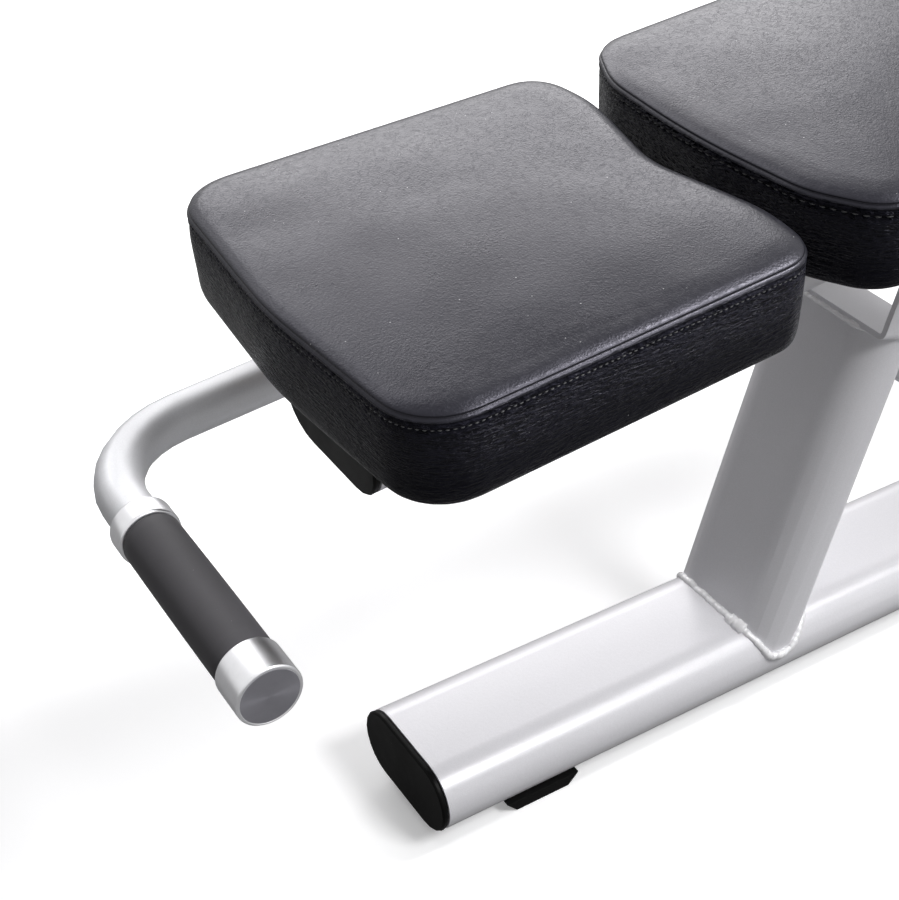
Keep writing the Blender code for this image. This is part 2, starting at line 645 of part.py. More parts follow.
def make_spine():
    """The tube that carries both pads, its pivot barrel, its bushes and the closing pieces of its ends."""
    start, end = -SPINE_FRONT, SPINE_REAR + TUBE_HEIGHT
    spine = tube("spine", TUBE_WIDTH, TUBE_HEIGHT, TUBE_WALL, end - start)
    spine.data.transform(Matrix.Rotation(math.pi / 2, 4, "X"))
    spine.data.transform(Matrix.Translation((0.0, (start + end) / 2, 0.0)))
    beyond = 2 * TUBE_WIDTH
    slant = box("spine_slant", (-TUBE_WIDTH, 0.0, -beyond), (TUBE_WIDTH, 2 * beyond, beyond))
    slant.data.transform(Matrix.Translation((0.0, SPINE_REAR, 0.0)) @ Matrix.Rotation(COLUMN_LEAN, 4, "X"))
    barrel = rod("spine_barrel", BARREL_RADIUS, -HALF_WIDTH, HALF_WIDTH, "X")
    bore = rod("spine_bore", BUSH_RADIUS + FIT_GAP, -TUBE_WIDTH, TUBE_WIDTH, "X")
    cut(spine, slant)
    join(spine, barrel)
    cut(spine, bore)
    add_piece(spine, SPINE, SILVER)

    cap = end_cap("spine_front_cap", TUBE_WIDTH, TUBE_HEIGHT, TUBE_WALL)
    cap.location = (0.0, -SPINE_FRONT, 0.0)
    cap.rotation_euler = ALONG_Y
    add_piece(cap, SPINE, PLASTIC)

    height = TUBE_HEIGHT / math.cos(COLUMN_LEAN)
    plate = slab("spine_end_plate", [obround(TUBE_WIDTH, height)], END_PLATE)
    plate.data.transform(Matrix.Rotation(math.pi / 2, 4, "X"))
    plate.data.transform(Matrix.Translation((0.0, WELD_GAP + END_PLATE / 2, 0.0)))
    plate.location = (0.0, SPINE_REAR, 0.0)
    plate.rotation_euler = (COLUMN_LEAN, 0.0, 0.0)
    shade(plate)
    add_piece(plate, SPINE, SILVER)

    for side, tag in ((1, "right"), (-1, "left")):
        face = HALF_WIDTH + FIT_GAP
        inner = PIN_RADIUS + FIT_GAP
        flange = BARREL_RADIUS
        profile = [(inner, face + BUSH_FLANGE), (flange, face + BUSH_FLANGE), (flange, face),
                   (BUSH_RADIUS, face), (BUSH_RADIUS, face - BUSH_LENGTH), (inner, face - BUSH_LENGTH)]
        bush = turned("pivot_bush_" + tag, [(r, side * x) for r, x in profile], 24)
        add_piece(bush, SPINE, NYLON)


def make_sector():
    """An arc of plate under the spine, slotted for the stud that it slides past as the bench tilts."""
    inner = CLAMP_RADIUS - SECTOR_BAND / 2
    outer = CLAMP_RADIUS + SECTOR_BAND / 2
    rest = CLAMP_ANGLE - REST_SLOPE
    first = -math.asin((HALF_HEIGHT + WELD_GAP) / outer)
    last = rest - TILT_RANGE - SECTOR_END
    steps = 20
    angles = [first + (last - first) * i / steps for i in range(steps + 1)]
    rim = [on_arc(outer, a) for a in angles] + [on_arc(inner, a) for a in reversed(angles)]
    half_slot = STUD_RADIUS + SLIDE_GAP
    slot = []
    for i in range(9):
        slot.append(on_arc(CLAMP_RADIUS + half_slot, rest - TILT_RANGE * i / 8))
    middle = on_arc(CLAMP_RADIUS, rest - TILT_RANGE)
    for i in range(1, 8):
        angle = rest - TILT_RANGE - math.pi * i / 8
        slot.append((middle[0] + half_slot * math.cos(angle), middle[1] + half_slot * math.sin(angle)))
    for i in range(9):
        slot.append(on_arc(CLAMP_RADIUS - half_slot, rest - TILT_RANGE * (8 - i) / 8))
    middle = on_arc(CLAMP_RADIUS, rest)
    for i in range(1, 8):
        angle = rest + math.pi - math.pi * i / 8
        slot.append((middle[0] + half_slot * math.cos(angle), middle[1] + half_slot * math.sin(angle)))
    sector = slab("tilt_sector", [rim, slot], SECTOR_PLATE, turn=ACROSS)
    seat = -HALF_HEIGHT - WELD_GAP
    top = box("sector_top", (-SECTOR_BAND, seat, -SECTOR_BAND), (2 * CLAMP_RADIUS, CLAMP_RADIUS, SECTOR_BAND))
    cut(sector, top)
    add_piece(sector, SPINE, STEEL)


def star(outer, inner, lobes, steps=8):
    """Outline of a star knob: round lobes between shallow hollows."""
    middle = (outer + inner) / 2
    depth = (outer - inner) / 2
    count = lobes * steps
    points = []
    for i in range(count):
        angle = 2 * math.pi * i / count
        radius = middle + depth * math.cos(lobes * angle)
        points.append((radius * math.cos(angle), radius * math.sin(angle)))
    return points


def make_clamp():
    """Bracket on the post's back whose stud and star knob clamp the sector between two plates."""
    stud_y = PIVOT_Y + CLAMP_RADIUS * math.cos(CLAMP_ANGLE)
    stud_z = PIVOT_Z + CLAMP_RADIUS * math.sin(CLAMP_ANGLE)
    inside = SECTOR_PLATE / 2 + SECTOR_SIDE_GAP
    outside = inside + CLAMP_PLATE
    # The bracket's own axes: Y square to the post, away from its back, and Z along the post
    away = (stud_y - POST_Y) * math.cos(POST_LEAN) - (stud_z - BEAM_TOP) * math.sin(POST_LEAN)
    up = (stud_y - POST_Y) * math.sin(POST_LEAN) + (stud_z - BEAM_TOP) * math.cos(POST_LEAN)
    back = HALF_HEIGHT + WELD_GAP
    tip = away + CLAMP_NOSE
    outline = [(-outside, back), (outside, back), (outside, tip), (inside, tip), (inside, back + CLAMP_PLATE),
               (-inside, back + CLAMP_PLATE), (-inside, tip), (-outside, tip)]
    bracket = slab("clamp_bracket", [outline], 3 * CLAMP_HEIGHT)
    bracket.data.transform(Matrix.Translation((0.0, 0.0, up)))
    bracket.location = (0.0, POST_Y, BEAM_TOP)
    bracket.rotation_euler = (-POST_LEAN, 0.0, 0.0)
    half = CLAMP_HEIGHT / 2
    band = box("bracket_band", (-CLAMP_HEIGHT, -CLAMP_RADIUS, -half), (CLAMP_HEIGHT, CLAMP_RADIUS, half))
    band.data.transform(Matrix.Translation((0.0, away, up)) @ Matrix.Rotation(POST_LEAN + CLAMP_TILT, 4, "X"))
    cut(bracket, band, operation="INTERSECT")
    hole = rod("bracket_hole", STUD_RADIUS + FIT_GAP, -2 * outside, 2 * outside, "X", (away, up), 20)
    cut(bracket, hole)
    add_piece(bracket, BENCH, SILVER)

    near = outside + FIT_GAP
    boss = near + WASHER + FIT_GAP
    knob_end = boss + KNOB_BOSS + KNOB_PLATE
    tip = knob_end - KNOB_COVER
    head = -outside - FIT_GAP
    profile = [(0.0, head - STUD_HEAD), (STUD_HEAD_RADIUS * 0.6, head - STUD_HEAD),
               (STUD_HEAD_RADIUS * 0.9, head - STUD_HEAD * 0.7), (STUD_HEAD_RADIUS, head - STUD_HEAD * 0.3),
               (STUD_HEAD_RADIUS, head), (STUD_RADIUS, head), (STUD_RADIUS, tip), (0.0, tip)]
    stud = turned("clamp_stud", profile, 24)
    stud.location = (0.0, stud_y, stud_z)
    add_piece(stud, BENCH, STEEL)
    bore = STUD_RADIUS + FIT_GAP
    far = near + WASHER
    profile = [(bore, near), (WASHER_RADIUS, near), (WASHER_RADIUS, far), (bore, far)]
    washer = turned("clamp_washer", profile, 24)
    washer.location = (0.0, stud_y, stud_z)
    add_piece(washer, BENCH, STEEL)

    knob = slab("clamp_knob", [star(KNOB_OUTER, KNOB_INNER, KNOB_LOBES)], KNOB_PLATE, edge=KNOB_EDGE)
    knob.data.transform(Matrix.Translation((0.0, 0.0, knob_end - KNOB_PLATE / 2)))
    knob.data.transform(Matrix.Rotation(math.pi / 2, 4, "Y"))
    boss_piece = rod("knob_boss", KNOB_BOSS_RADIUS, boss, knob_end - KNOB_PLATE / 2, "X")
    socket = rod("knob_socket", bore, 0.0, tip + FIT_GAP, "X")
    join(knob, boss_piece)
    cut(knob, socket)
    shade(knob)
    knob.location = (0.0, stud_y, stud_z)
    add_piece(knob, BENCH, PLASTIC)


def both_sides(corners):
    """Corners given for the right side, the first on the middle line, with their mirror images."""
    middle = [corner for corner in corners if corner[0] == 0.0]
    right = [corner for corner in corners if corner[0] > 0.0]
    left = [(-x, y, radius) for x, y, radius in reversed(right)]
    return rounded(middle[:1] + right + middle[1:] + left)


def front_pad_outline():
    """Bowed front edge, sides that draw in a little to the rear, and a shallow V in the rear edge."""
    start = FRONT_PAD_START
    end = FRONT_PAD_END
    return both_sides([(0.0, start, FRONT_PAD_NOSE_ROUND),
                       (FRONT_PAD_HALF_FRONT, start + FRONT_PAD_BOW, FRONT_PAD_FRONT_CORNER),
                       (FRONT_PAD_HALF_REAR, end, FRONT_PAD_REAR_CORNER),
                       (FRONT_PAD_EAR_X, end + FRONT_PAD_EAR, FRONT_PAD_EAR_ROUND),
                       (0.0, end - FRONT_PAD_NOTCH, FRONT_PAD_NOTCH_ROUND)])


def rear_pad_outline():
    """Front edge bowed and drawn back at its corners, straight sides and a square rear edge."""
    start = REAR_PAD_START
    return both_sides([(0.0, start, REAR_PAD_NOSE_ROUND),
                       (REAR_PAD_FACET_X, start + REAR_PAD_BOW, REAR_PAD_FACET_ROUND),
                       (REAR_PAD_HALF, start + REAR_PAD_SHOULDER, REAR_PAD_CORNER),
                       (REAR_PAD_HALF, REAR_PAD_END, REAR_PAD_END_CORNER)])


def drawn_in(outline, inset):
    """The outline shrunk towards its middle by an inset at its widest."""
    xs = [x for x, y in outline]
    ys = [y for x, y in outline]
    middle = (min(ys) + max(ys)) / 2
    across = 1 - inset / max(xs)
    lengthwise = 1 - inset / (max(ys) - middle)
    return [(x * across, middle + (y - middle) * lengthwise) for x, y in outline]


def make_cushion(name, outline):
    """A crowned pad whose sides lean forwards a little, with a recess underneath for its board."""
    half = max(x for x, y in outline)
    recess = BOARD_THICKNESS + 2 * FIT_GAP
    sections = [(BOARD_INSET - FIT_GAP, recess), (BOARD_INSET - FIT_GAP, 0.0), (PAD_LOWER_EDGE, 0.0),
                (0.0, PAD_LOWER_EDGE), (0.0, PAD_THICKNESS * 0.35), (0.0, PAD_THICKNESS * 0.7),
                (0.0, PAD_THICKNESS - PAD_SEAM_DROP), (PAD_SEAM_ROLL, PAD_THICKNESS + PAD_SEAM_RISE),
                (PAD_SHOULDER_IN, PAD_THICKNESS + PAD_CROWN * PAD_SHOULDER_SHARE)]
    for share in (0.82, 0.60, 0.36, 0.14):
        sections.append((half * (1 - share), PAD_THICKNESS + PAD_CROWN * (1 - share ** 2.6)))
    bm = bmesh.new()
    rings = []
    for i, (inset, height) in enumerate(sections):
        share = 0.0 if i < 2 else min(1.0, height / PAD_THICKNESS)
        shift = PAD_RAKE * (share - 1.0)
        rings.append([bm.verts.new((x, y + shift, height)) for x, y in drawn_in(outline, inset)])
    for low, high in zip(rings, rings[1:]):
        for i in range(len(low)):
            k = (i + 1) % len(low)
            bm.faces.new((low[i], low[k], high[k], high[i]))
    bm.faces.new(rings[0])
    bm.faces.new(rings[-1])
    cushion = mesh_object(name, bm, (0.0, 0.0, PAD_BOTTOM))
    shade(cushion, 50.0)
    return add_piece(cushion, SPINE, LEATHERETTE)


def make_board(name, outline, bars):
    """The plywood board in the cushion's recess, drilled for the bolts."""
    place = (0.0, -PAD_RAKE, PAD_BOTTOM + BOARD_THICKNESS / 2)
    board = slab(name, [drawn_in(outline, BOARD_INSET)], BOARD_THICKNESS, place)
    tools = []
    for i, y in enumerate(bars):
        for side in (1, -1):
            low = -BOARD_THICKNESS
            high = PAD_BOLT_DEPTH + FIT_GAP - BOARD_THICKNESS / 2
            tools.append(rod(f"{name}_hole_{i}_{side}", PAD_BOLT_RADIUS + FIT_GAP, low, high, "Z",
                             (side * PAD_BOLT_X, y + PAD_RAKE), 12))
    cut(board, *tools)
    return add_piece(board, SPINE, PLYWOOD)


def make_pad_bars(pad, bars):
    """Flat bars across the spine under a pad, each with a bolt at both ends."""
    for i, y in enumerate(bars, 1):
        outline = rounded_rectangle(PAD_BAR_LENGTH, PAD_BAR_WIDTH, PAD_BAR_CORNER, 4)
        low = HALF_HEIGHT + WELD_GAP
        bar = slab(f"{pad}_pad_bar_{i}", [outline], PAD_BAR_THICKNESS, (0.0, y, low + PAD_BAR_THICKNESS / 2))
        for side in (1, -1):
            hole = rod(f"{pad}_bar_hole_{i}_{side}", PAD_BOLT_RADIUS + FIT_GAP, -PAD_BAR_THICKNESS,
                       PAD_BAR_THICKNESS, "Z", (side * PAD_BOLT_X, 0.0), 12)
            cut(bar, hole)
        add_piece(bar, SPINE, SILVER)
        for side, tag in ((1, "right"), (-1, "left")):
            head = low - FIT_GAP
            tip = PAD_BOTTOM + PAD_BOLT_DEPTH
            foot = head - PAD_BOLT_HEAD_HEIGHT
            shank = rod(f"{pad}_pad_bolt_{i}_{tag}", PAD_BOLT_RADIUS, (head + foot) / 2, tip, "Z", sides=12)
            hexagon = rod(f"{pad}_bolt_head_{i}_{tag}", PAD_BOLT_HEAD, foot, head, "Z", sides=6)
            join(shank, hexagon)
            shank.location = (side * PAD_BOLT_X, y, 0.0)
            add_piece(shank, SPINE, STEEL)


def make_pads():
    pads = (("front", front_pad_outline(), FRONT_PAD_BARS), ("rear", rear_pad_outline(), REAR_PAD_BARS))
    for pad, outline, bars in pads:
        make_cushion(pad + "_cushion", outline)
        make_board(pad + "_board", outline, bars)
        make_pad_bars(pad, bars)


def handle_path(tip):
    """Centre line of the handle: across under the spine, forwards on the left, then across as the grip."""
    points = [Vector((HANDLE_CROSS_END, HANDLE_CROSS))]
    bends = [(Vector((HANDLE_X + HANDLE_BEND, HANDLE_CROSS - HANDLE_BEND)), 90.0, 180.0),
             (Vector((HANDLE_X + HANDLE_BEND, GRIP_Y + HANDLE_BEND)), 180.0, 270.0)]
    for centre, start, end in bends:
        for i in range(9):
            angle = math.radians(start + (end - start) * i / 8)
            points.append(centre + HANDLE_BEND * Vector((math.cos(angle), math.sin(angle))))
    points.append(Vector((tip, GRIP_Y)))
    return points


def round_tube(name, points, radius, resolution):
    curve = bpy.data.curves.new(name, "CURVE")
    curve.dimensions = "3D"
    curve.bevel_depth = radius
    curve.bevel_resolution = resolution
    curve.use_fill_caps = True
    spline = curve.splines.new("POLY")
    spline.points.add(len(points) - 1)
    for point, (x, y) in zip(spline.points, points):
        point.co = (x, y, -HANDLE_DROP, 1.0)
    return as_mesh(bpy.data.objects.new(name, curve))


def make_handle():
    """The L-shaped handle, its saddle under the spine, and its collar, grip and end cap."""
    tip = GRIP_END + HANDLE_CAP_LENGTH - HANDLE_CAP_FACE - HANDLE_TIP_GAP
    handle = round_tube("handle_tube", handle_path(tip), HANDLE_RADIUS, 5)
    path = handle_path(tip + HANDLE_RADIUS)
    path[0] = path[0] - Vector((HANDLE_WALL, 0.0))
    bore = round_tube("handle_bore", path, HANDLE_RADIUS - HANDLE_WALL, 3)
    saddle_top = -HALF_HEIGHT - WELD_GAP
    saddle_bottom = -HANDLE_DROP + HANDLE_RADIUS * 0.6
    saddle = box("handle_saddle", (-HALF_WIDTH + HALF_HEIGHT, HANDLE_CROSS - SADDLE_WIDTH / 2, saddle_bottom),
                 (HANDLE_CROSS_END - SADDLE_INSET, HANDLE_CROSS + SADDLE_WIDTH / 2, saddle_top))
    join(handle, saddle)
    cut(handle, bore)
    shade(handle)
    add_piece(handle, SPINE, SILVER)

    inner = HANDLE_RADIUS + FIT_GAP
    collar_end = GRIP_START - WELD_GAP
    pieces = [("grip_collar", collar_end - COLLAR_LENGTH, collar_end, COLLAR_RADIUS, ALUMINIUM),
              ("grip_rubber", GRIP_START, GRIP_END, GRIP_RADIUS, RUBBER)]
    for name, low, high, radius, material in pieces:
        edge = CHAMFER if material is ALUMINIUM else CHAMFER / 3
        profile = [(inner, low), (radius - edge, low), (radius, low + edge), (radius, high - edge),
                   (radius - edge, high), (inner, high)]
        piece = turned(name, profile, 36)
        piece.location = (0.0, GRIP_Y, -HANDLE_DROP)
        add_piece(piece, SPINE, material)

    low = GRIP_END + WELD_GAP
    high = low + HANDLE_CAP_LENGTH
    profile = [(inner, low), (COLLAR_RADIUS - CHAMFER, low), (COLLAR_RADIUS, low + CHAMFER),
               (COLLAR_RADIUS, high - 2 * CHAMFER), (COLLAR_RADIUS - 2 * CHAMFER, high), (0.0, high),
               (0.0, high - HANDLE_CAP_FACE), (inner, high - HANDLE_CAP_FACE)]
    cap = turned("handle_end_cap", profile, 36)
    cap.location = (0.0, GRIP_Y, -HANDLE_DROP)
    add_piece(cap, SPINE, ALUMINIUM)


def make_leg_column():
    """The column at the spine's rear end, its two caps, and the knee and ankle rollers on their axles."""
    holder = empty("leg_column_axes", (0.0, COLUMN_Y, 0.0), SPINE, COLUMN_LEAN)
    length = COLUMN_TOP + COLUMN_BOTTOM
    column = tube("leg_column", COLUMN_WIDTH, COLUMN_DEPTH, COLUMN_WALL, length)
    column.data.transform(Matrix.Translation((0.0, 0.0, (COLUMN_TOP - COLUMN_BOTTOM) / 2)))
    holes = [rod(f"column_hole_{i}", ROLLER_AXLE_RADIUS + FIT_GAP, -COLUMN_WIDTH, COLUMN_WIDTH, "X", (0.0, z))
             for i, z in enumerate((KNEE_RISE, -ANKLE_DROP))]
    cut(column, *holes)
    add_piece(column, holder, SILVER)
    for tag, end, turn in (("top", COLUMN_TOP, 0.0), ("bottom", -COLUMN_BOTTOM, math.pi)):
        room = min(COLUMN_TOP - KNEE_RISE, COLUMN_BOTTOM - ANKLE_DROP) - ROLLER_AXLE_RADIUS - COLUMN_CAP_ROOM
        cap = end_cap("column_cap_" + tag, COLUMN_WIDTH, COLUMN_DEPTH, COLUMN_WALL, room)
        cap.location = (0.0, 0.0, end)
        cap.rotation_euler = (turn, 0.0, 0.0)
        add_piece(cap, holder, PLASTIC)

    for row, z in (("knee", KNEE_RISE), ("ankle", -ANKLE_DROP)):
        head = ROLLER_END + ROLLER_CAP_GAP
        shaft = ROLLER_AXLE_RADIUS
        end = head + ROLLER_CAP_LENGTH
        dome = [(shaft, head), (ROLLER_CAP_RADIUS, head),
                (ROLLER_CAP_RADIUS, head + ROLLER_CAP_LENGTH * 0.4),
                (ROLLER_CAP_RADIUS * 0.85, head + ROLLER_CAP_LENGTH * 0.85),
                (ROLLER_CAP_RADIUS * 0.6, end), (0.0, end)]
        axle_tip = -head - ROLLER_CAP_LENGTH * 0.5
        axle = turned(row + "_axle", [(0.0, axle_tip), (shaft, axle_tip)] + dome, 24)
        axle.location = (0.0, 0.0, z)
        add_piece(axle, holder, ALUMINIUM)
        bore = shaft + FIT_GAP
        cap_profile = [(bore, -head)] + [(r, -x) for r, x in dome[1:]]
        cap_profile += [(0.0, axle_tip - FIT_GAP), (bore, axle_tip - FIT_GAP)]
        cap = turned(row + "_axle_cap", cap_profile, 24)
        cap.location = (0.0, 0.0, z)
        add_piece(cap, holder, ALUMINIUM)
        for side, tag in ((1, "right"), (-1, "left")):
            corner = [(ROLLER_RADIUS - ROLLER_ROUND * (1 - math.sin(a)), ROLLER_ROUND * (1 - math.cos(a)))
                      for a in (math.pi / 2 * i / 4 for i in range(5))]
            near_half = [(bore, 0.0)] + corner
            profile = near_half + [(r, ROLLER_LENGTH - x) for r, x in reversed(near_half)]
            placed = [(r, side * (ROLLER_START + x)) for r, x in profile]
            roller = turned(f"{row}_roller_{tag}", placed, 28)
            roller.location = (0.0, 0.0, z)
            add_piece(roller, holder, LEATHERETTE)


make_base()
make_wheels()
make_clevis(make_post())
make_spine()
make_sector()
make_clamp()
make_pads()
make_handle()
make_leg_column()
bpy.context.view_layer.update()
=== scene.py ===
"""Adjustable abdominal bench: two vinyl pads on a silver tube frame, with a side handle and a leg hold."""
import json
import math
import random

import bmesh
import bpy
import numpy as np
from mathutils import Euler, Matrix, Vector, kdtree, noise
from mathutils.geometry import delaunay_2d_cdt

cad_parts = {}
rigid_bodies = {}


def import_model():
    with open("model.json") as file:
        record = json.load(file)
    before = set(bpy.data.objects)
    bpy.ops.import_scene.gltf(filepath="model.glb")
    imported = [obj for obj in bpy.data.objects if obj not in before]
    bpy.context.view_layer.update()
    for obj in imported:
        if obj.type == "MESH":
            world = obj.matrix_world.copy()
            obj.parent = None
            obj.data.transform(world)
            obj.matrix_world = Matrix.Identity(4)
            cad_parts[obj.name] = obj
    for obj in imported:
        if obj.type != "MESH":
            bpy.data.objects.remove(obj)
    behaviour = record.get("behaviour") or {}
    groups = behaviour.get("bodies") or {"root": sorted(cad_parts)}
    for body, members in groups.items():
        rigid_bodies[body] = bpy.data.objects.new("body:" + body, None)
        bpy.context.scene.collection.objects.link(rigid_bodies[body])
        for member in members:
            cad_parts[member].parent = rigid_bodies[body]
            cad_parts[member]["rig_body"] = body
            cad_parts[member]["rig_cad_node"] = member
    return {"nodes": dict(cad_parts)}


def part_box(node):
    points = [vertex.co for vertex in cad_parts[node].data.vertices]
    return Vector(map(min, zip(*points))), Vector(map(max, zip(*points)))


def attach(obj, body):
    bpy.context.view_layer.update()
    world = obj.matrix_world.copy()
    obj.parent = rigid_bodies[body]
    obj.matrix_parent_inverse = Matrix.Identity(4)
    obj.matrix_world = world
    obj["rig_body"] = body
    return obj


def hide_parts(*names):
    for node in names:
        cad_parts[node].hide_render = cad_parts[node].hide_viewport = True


for leftover in list(bpy.data.objects):
    bpy.data.objects.remove(leftover)
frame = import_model()
bpy.context.view_layer.update()

# Places, sizes and slopes of the bench, in metres and radians
SLOPE = math.radians(5.9)
PIVOT = Vector((0.0, -0.157841, 0.402891))
HALF_TUBE = 0.0275
BEAM_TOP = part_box("base_beam")[1].z
BEAM_MIDDLE = BEAM_TOP - HALF_TUBE
POST_FOOT = Vector((0.0, -0.248298, BEAM_TOP))
POST_LEAN = math.radians(15.0)
POST_LENGTH = 0.2525
CROSS_Y = 0.5447
GRIP_Y = -0.7140
GRIP_Z = 0.3009

# Sizes of the upholstery, in metres; the outline is read from the cushion's solid at its own seam
PAD_SIDE = 0.058
PAD_RAKE = 0.003
OUTLINE_HEIGHT = 0.056
TOP_FLAT = 0.018
CROWN = 0.0012
SWELL = 0.0026
FRONT_STITCH = 0.0039
REAR_STITCH = 0.0066
NOTCH_FILL = 0.0055

# A cushion's section from its top outwards, down the side and under to the board: inset and height in mm
PAD_SECTION = (
    (18.0, 63.8), (12.0, 63.2), (8.5, 62.7), (6.0, 62.2), (4.0, 61.5), (2.5, 61.0), (1.3, 60.4),
    (0.5, 59.9), (0.2, 59.3), (1.2, 58.6), (0.2, 58.2), (-0.8, 57.6), (-1.2, 56.8), (-1.1, 56.0),
    (-0.1, 55.1), (-0.8, 54.2), (-1.2, 53.2), (-1.0, 52.2), (0.0, 51.2), (-0.6, 50.2), (-0.9, 48.5),
    (-1.1, 45.0), (-1.1, 38.0), (-1.0, 29.0), (-0.7, 20.0), (-0.3, 10.5), (0.4, 5.2), (1.8, 1.5),
    (4.5, -0.3), (8.0, -0.7), (11.0, -0.3), (12.4, 0.0),
)
GROOVE_HEIGHT = 0.0586
LIP_HEIGHT = 0.0561
STITCH_HEIGHT = 0.0511
BOARD_EDGE = 0.0124
RECESS_INSET = 0.012
RECESS_HEIGHT = 0.0006

# Distances between the points of a cushion: round it, down its section, on its top, and for the cloth
ROUND_STEP = 0.0022
SECTION_STEP = 0.0016
TOP_STEP = 0.004
CLOTH_STEP = 0.005
CLOTH_VOXEL = 0.006
CLOTH_PRESSURE = 4.0
CLOTH_FRAMES = 20

# How far each cushion sits off its drawn height: everywhere, per metre along the bench and per metre across
DROOP = {"front_cushion": (-0.0035, -0.0315, -0.0103), "rear_cushion": (-0.0010, 0.0, 0.0120)}


# Helpers for work with operators
def deselect():
    """Leave nothing selected."""
    bpy.ops.object.select_all(action="DESELECT")


def only(thing):
    """Select one object and make it the active one."""
    deselect()
    thing.select_set(True)
    bpy.context.view_layer.objects.active = thing


def settle(thing):
    """Move an object's place, turn and scale into its mesh."""
    only(thing)
    bpy.ops.object.transform_apply(location=True, rotation=True, scale=True)


def apply_modifiers(thing):
    """Apply every modifier of an object in order."""
    only(thing)
    for modifier in list(thing.modifiers):
        bpy.ops.object.modifier_apply(modifier=modifier.name)


def new_piece(name, points, faces):
    """Put a new mesh object into the scene."""
    mesh = bpy.data.meshes.new(name)
    mesh.from_pydata([tuple(p) for p in points], [], [tuple(f) for f in faces])
    mesh.update()
    piece = bpy.data.objects.new(name, mesh)
    bpy.context.scene.collection.objects.link(piece)
    return piece


def open_mesh(piece):
    """Go into a piece's mesh with all of it selected."""
    only(piece)
    bpy.ops.object.mode_set(mode="EDIT")
    bpy.ops.mesh.select_all(action="SELECT")


def close_mesh():
    """Leave the mesh that is open."""
    bpy.ops.object.mode_set(mode="OBJECT")


def face_outwards(piece):
    """Merge doubles and turn all faces of a closed piece outwards."""
    open_mesh(piece)
    bpy.ops.mesh.remove_doubles(threshold=0.000001)
    bpy.ops.mesh.normals_make_consistent(inside=False)
    close_mesh()


def smooth(piece):
    """Shade a piece smooth all over."""
    only(piece)
    bpy.ops.object.shade_smooth()


def smooth_by_angle(piece, degrees):
    """Shade a piece smooth except along its sharp edges."""
    only(piece)
    bpy.ops.object.shade_smooth_by_angle(angle=math.radians(degrees))


def finish_piece(piece, material, body):
    """Give a piece its material and its body."""
    piece.data.materials.clear()
    piece.data.materials.append(material)
    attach(piece, body)


def mesh_points(thing):
    """Points of an object's mesh as rows."""
    mesh = thing.data
    points = np.empty(len(mesh.vertices) * 3)
    mesh.vertices.foreach_get("co", points)
    return points.reshape(-1, 3)


def taken(thing):
    """Points and faces of a small helper object, which is then removed."""
    points = mesh_points(thing)
    faces = [tuple(polygon.vertices) for polygon in thing.data.polygons]
    bpy.data.objects.remove(thing)
    return points, faces


def ring_faces(rings, count, closed=False):
    """Four-sided faces between rings of points that follow each other, and back to the first if closed."""
    faces = []
    for ring in range(rings if closed else rings - 1):
        here = ring * count
        ahead = (ring + 1) % rings * count
        for i in range(count):
            j = (i + 1) % count
            faces.append((here + i, ahead + i, ahead + j, here + j))
    return faces


def ramp(value, start, reach):
    """A share that grows from 0 at the start to 1 over a reach, downwards if the reach is negative."""
    return np.clip((value - start) / reach, 0.0, 1.0)


def noise_at(x, y, z):
    """Smooth noise at a place given by its three values."""
    return noise.noise(Vector((x, y, z)))


def add_hide_map(piece, uvs):
    """The vinyl's own map, in metres."""
    layer = piece.data.uv_layers.new(name="hide")
    layer.data.foreach_set("uv", np.array(uvs).ravel())


def add_band(piece, values):
    """How far each point belongs to the side of a cushion, from 0 to 1."""
    band = piece.data.attributes.new("band", "FLOAT", "POINT")
    band.data.foreach_set("value", values)


# Colours
def rgb(red, green, blue):
    """A colour for a shader."""
    return (red, green, blue, 1.0)


def scaled(colour, share):
    """A colour made darker or lighter."""
    return tuple(part * share for part in colour[:3]) + (1.0,)


# Helpers for shader nodes
class Sheet:
    """A node tree with short ways to add nodes and links."""

    def __init__(self, tree):
        self.tree = tree

    def add(self, kind, **settings):
        """Add a node; settings are its properties, or inputs given as in_NAME or in_0, in_1."""
        node = self.tree.nodes.new(kind)
        for key, value in settings.items():
            if not key.startswith("in_"):
                setattr(node, key, value)
        for key, value in settings.items():
            if key.startswith("in_"):
                name = key[3:].replace("_", " ")
                socket = node.inputs[int(name)] if name.isdigit() else node.inputs[name]
                self.feed(socket, value)
        return node

    def feed(self, socket, value):
        """Link a socket to another, or set its plain value."""
        if isinstance(value, bpy.types.NodeSocket):
            self.tree.links.new(value, socket)
        else:
            socket.default_value = value

    def math(self, operation, first, second=0.5, clamp=False):
        """A Math node's result."""
        node = self.add("ShaderNodeMath", operation=operation, use_clamp=clamp, in_0=first, in_1=second)
        return node.outputs[0]

    def ranged(self, value, low, high, new_low=0.0, new_high=1.0):
        """A value mapped smoothly from one range to another."""
        node = self.add("ShaderNodeMapRange", interpolation_type="SMOOTHSTEP", in_Value=value)
        node.inputs["From Min"].default_value = low
        self.feed(node.inputs["From Max"], high)
        self.feed(node.inputs["To Min"], new_low)
        self.feed(node.inputs["To Max"], new_high)
        return node.outputs["Result"]

    def mix(self, factor, first, second):
        """Two colours mixed."""
        node = self.add("ShaderNodeMix", data_type="RGBA", blend_type="MIX")
        self.feed(node.inputs["Factor"], factor)
        self.feed(node.inputs["A"], first)
        self.feed(node.inputs["B"], second)
        return next(s for s in node.outputs if s.type == "RGBA")

    def bump(self, height, distance, normal=None):
        """A bump whose height is given in metres by distance."""
        node = self.add("ShaderNodeBump", in_Height=height, in_Distance=distance, in_Strength=1.0)
        if normal is not None:
            self.feed(node.inputs["Normal"], normal)
        return node.outputs["Normal"]


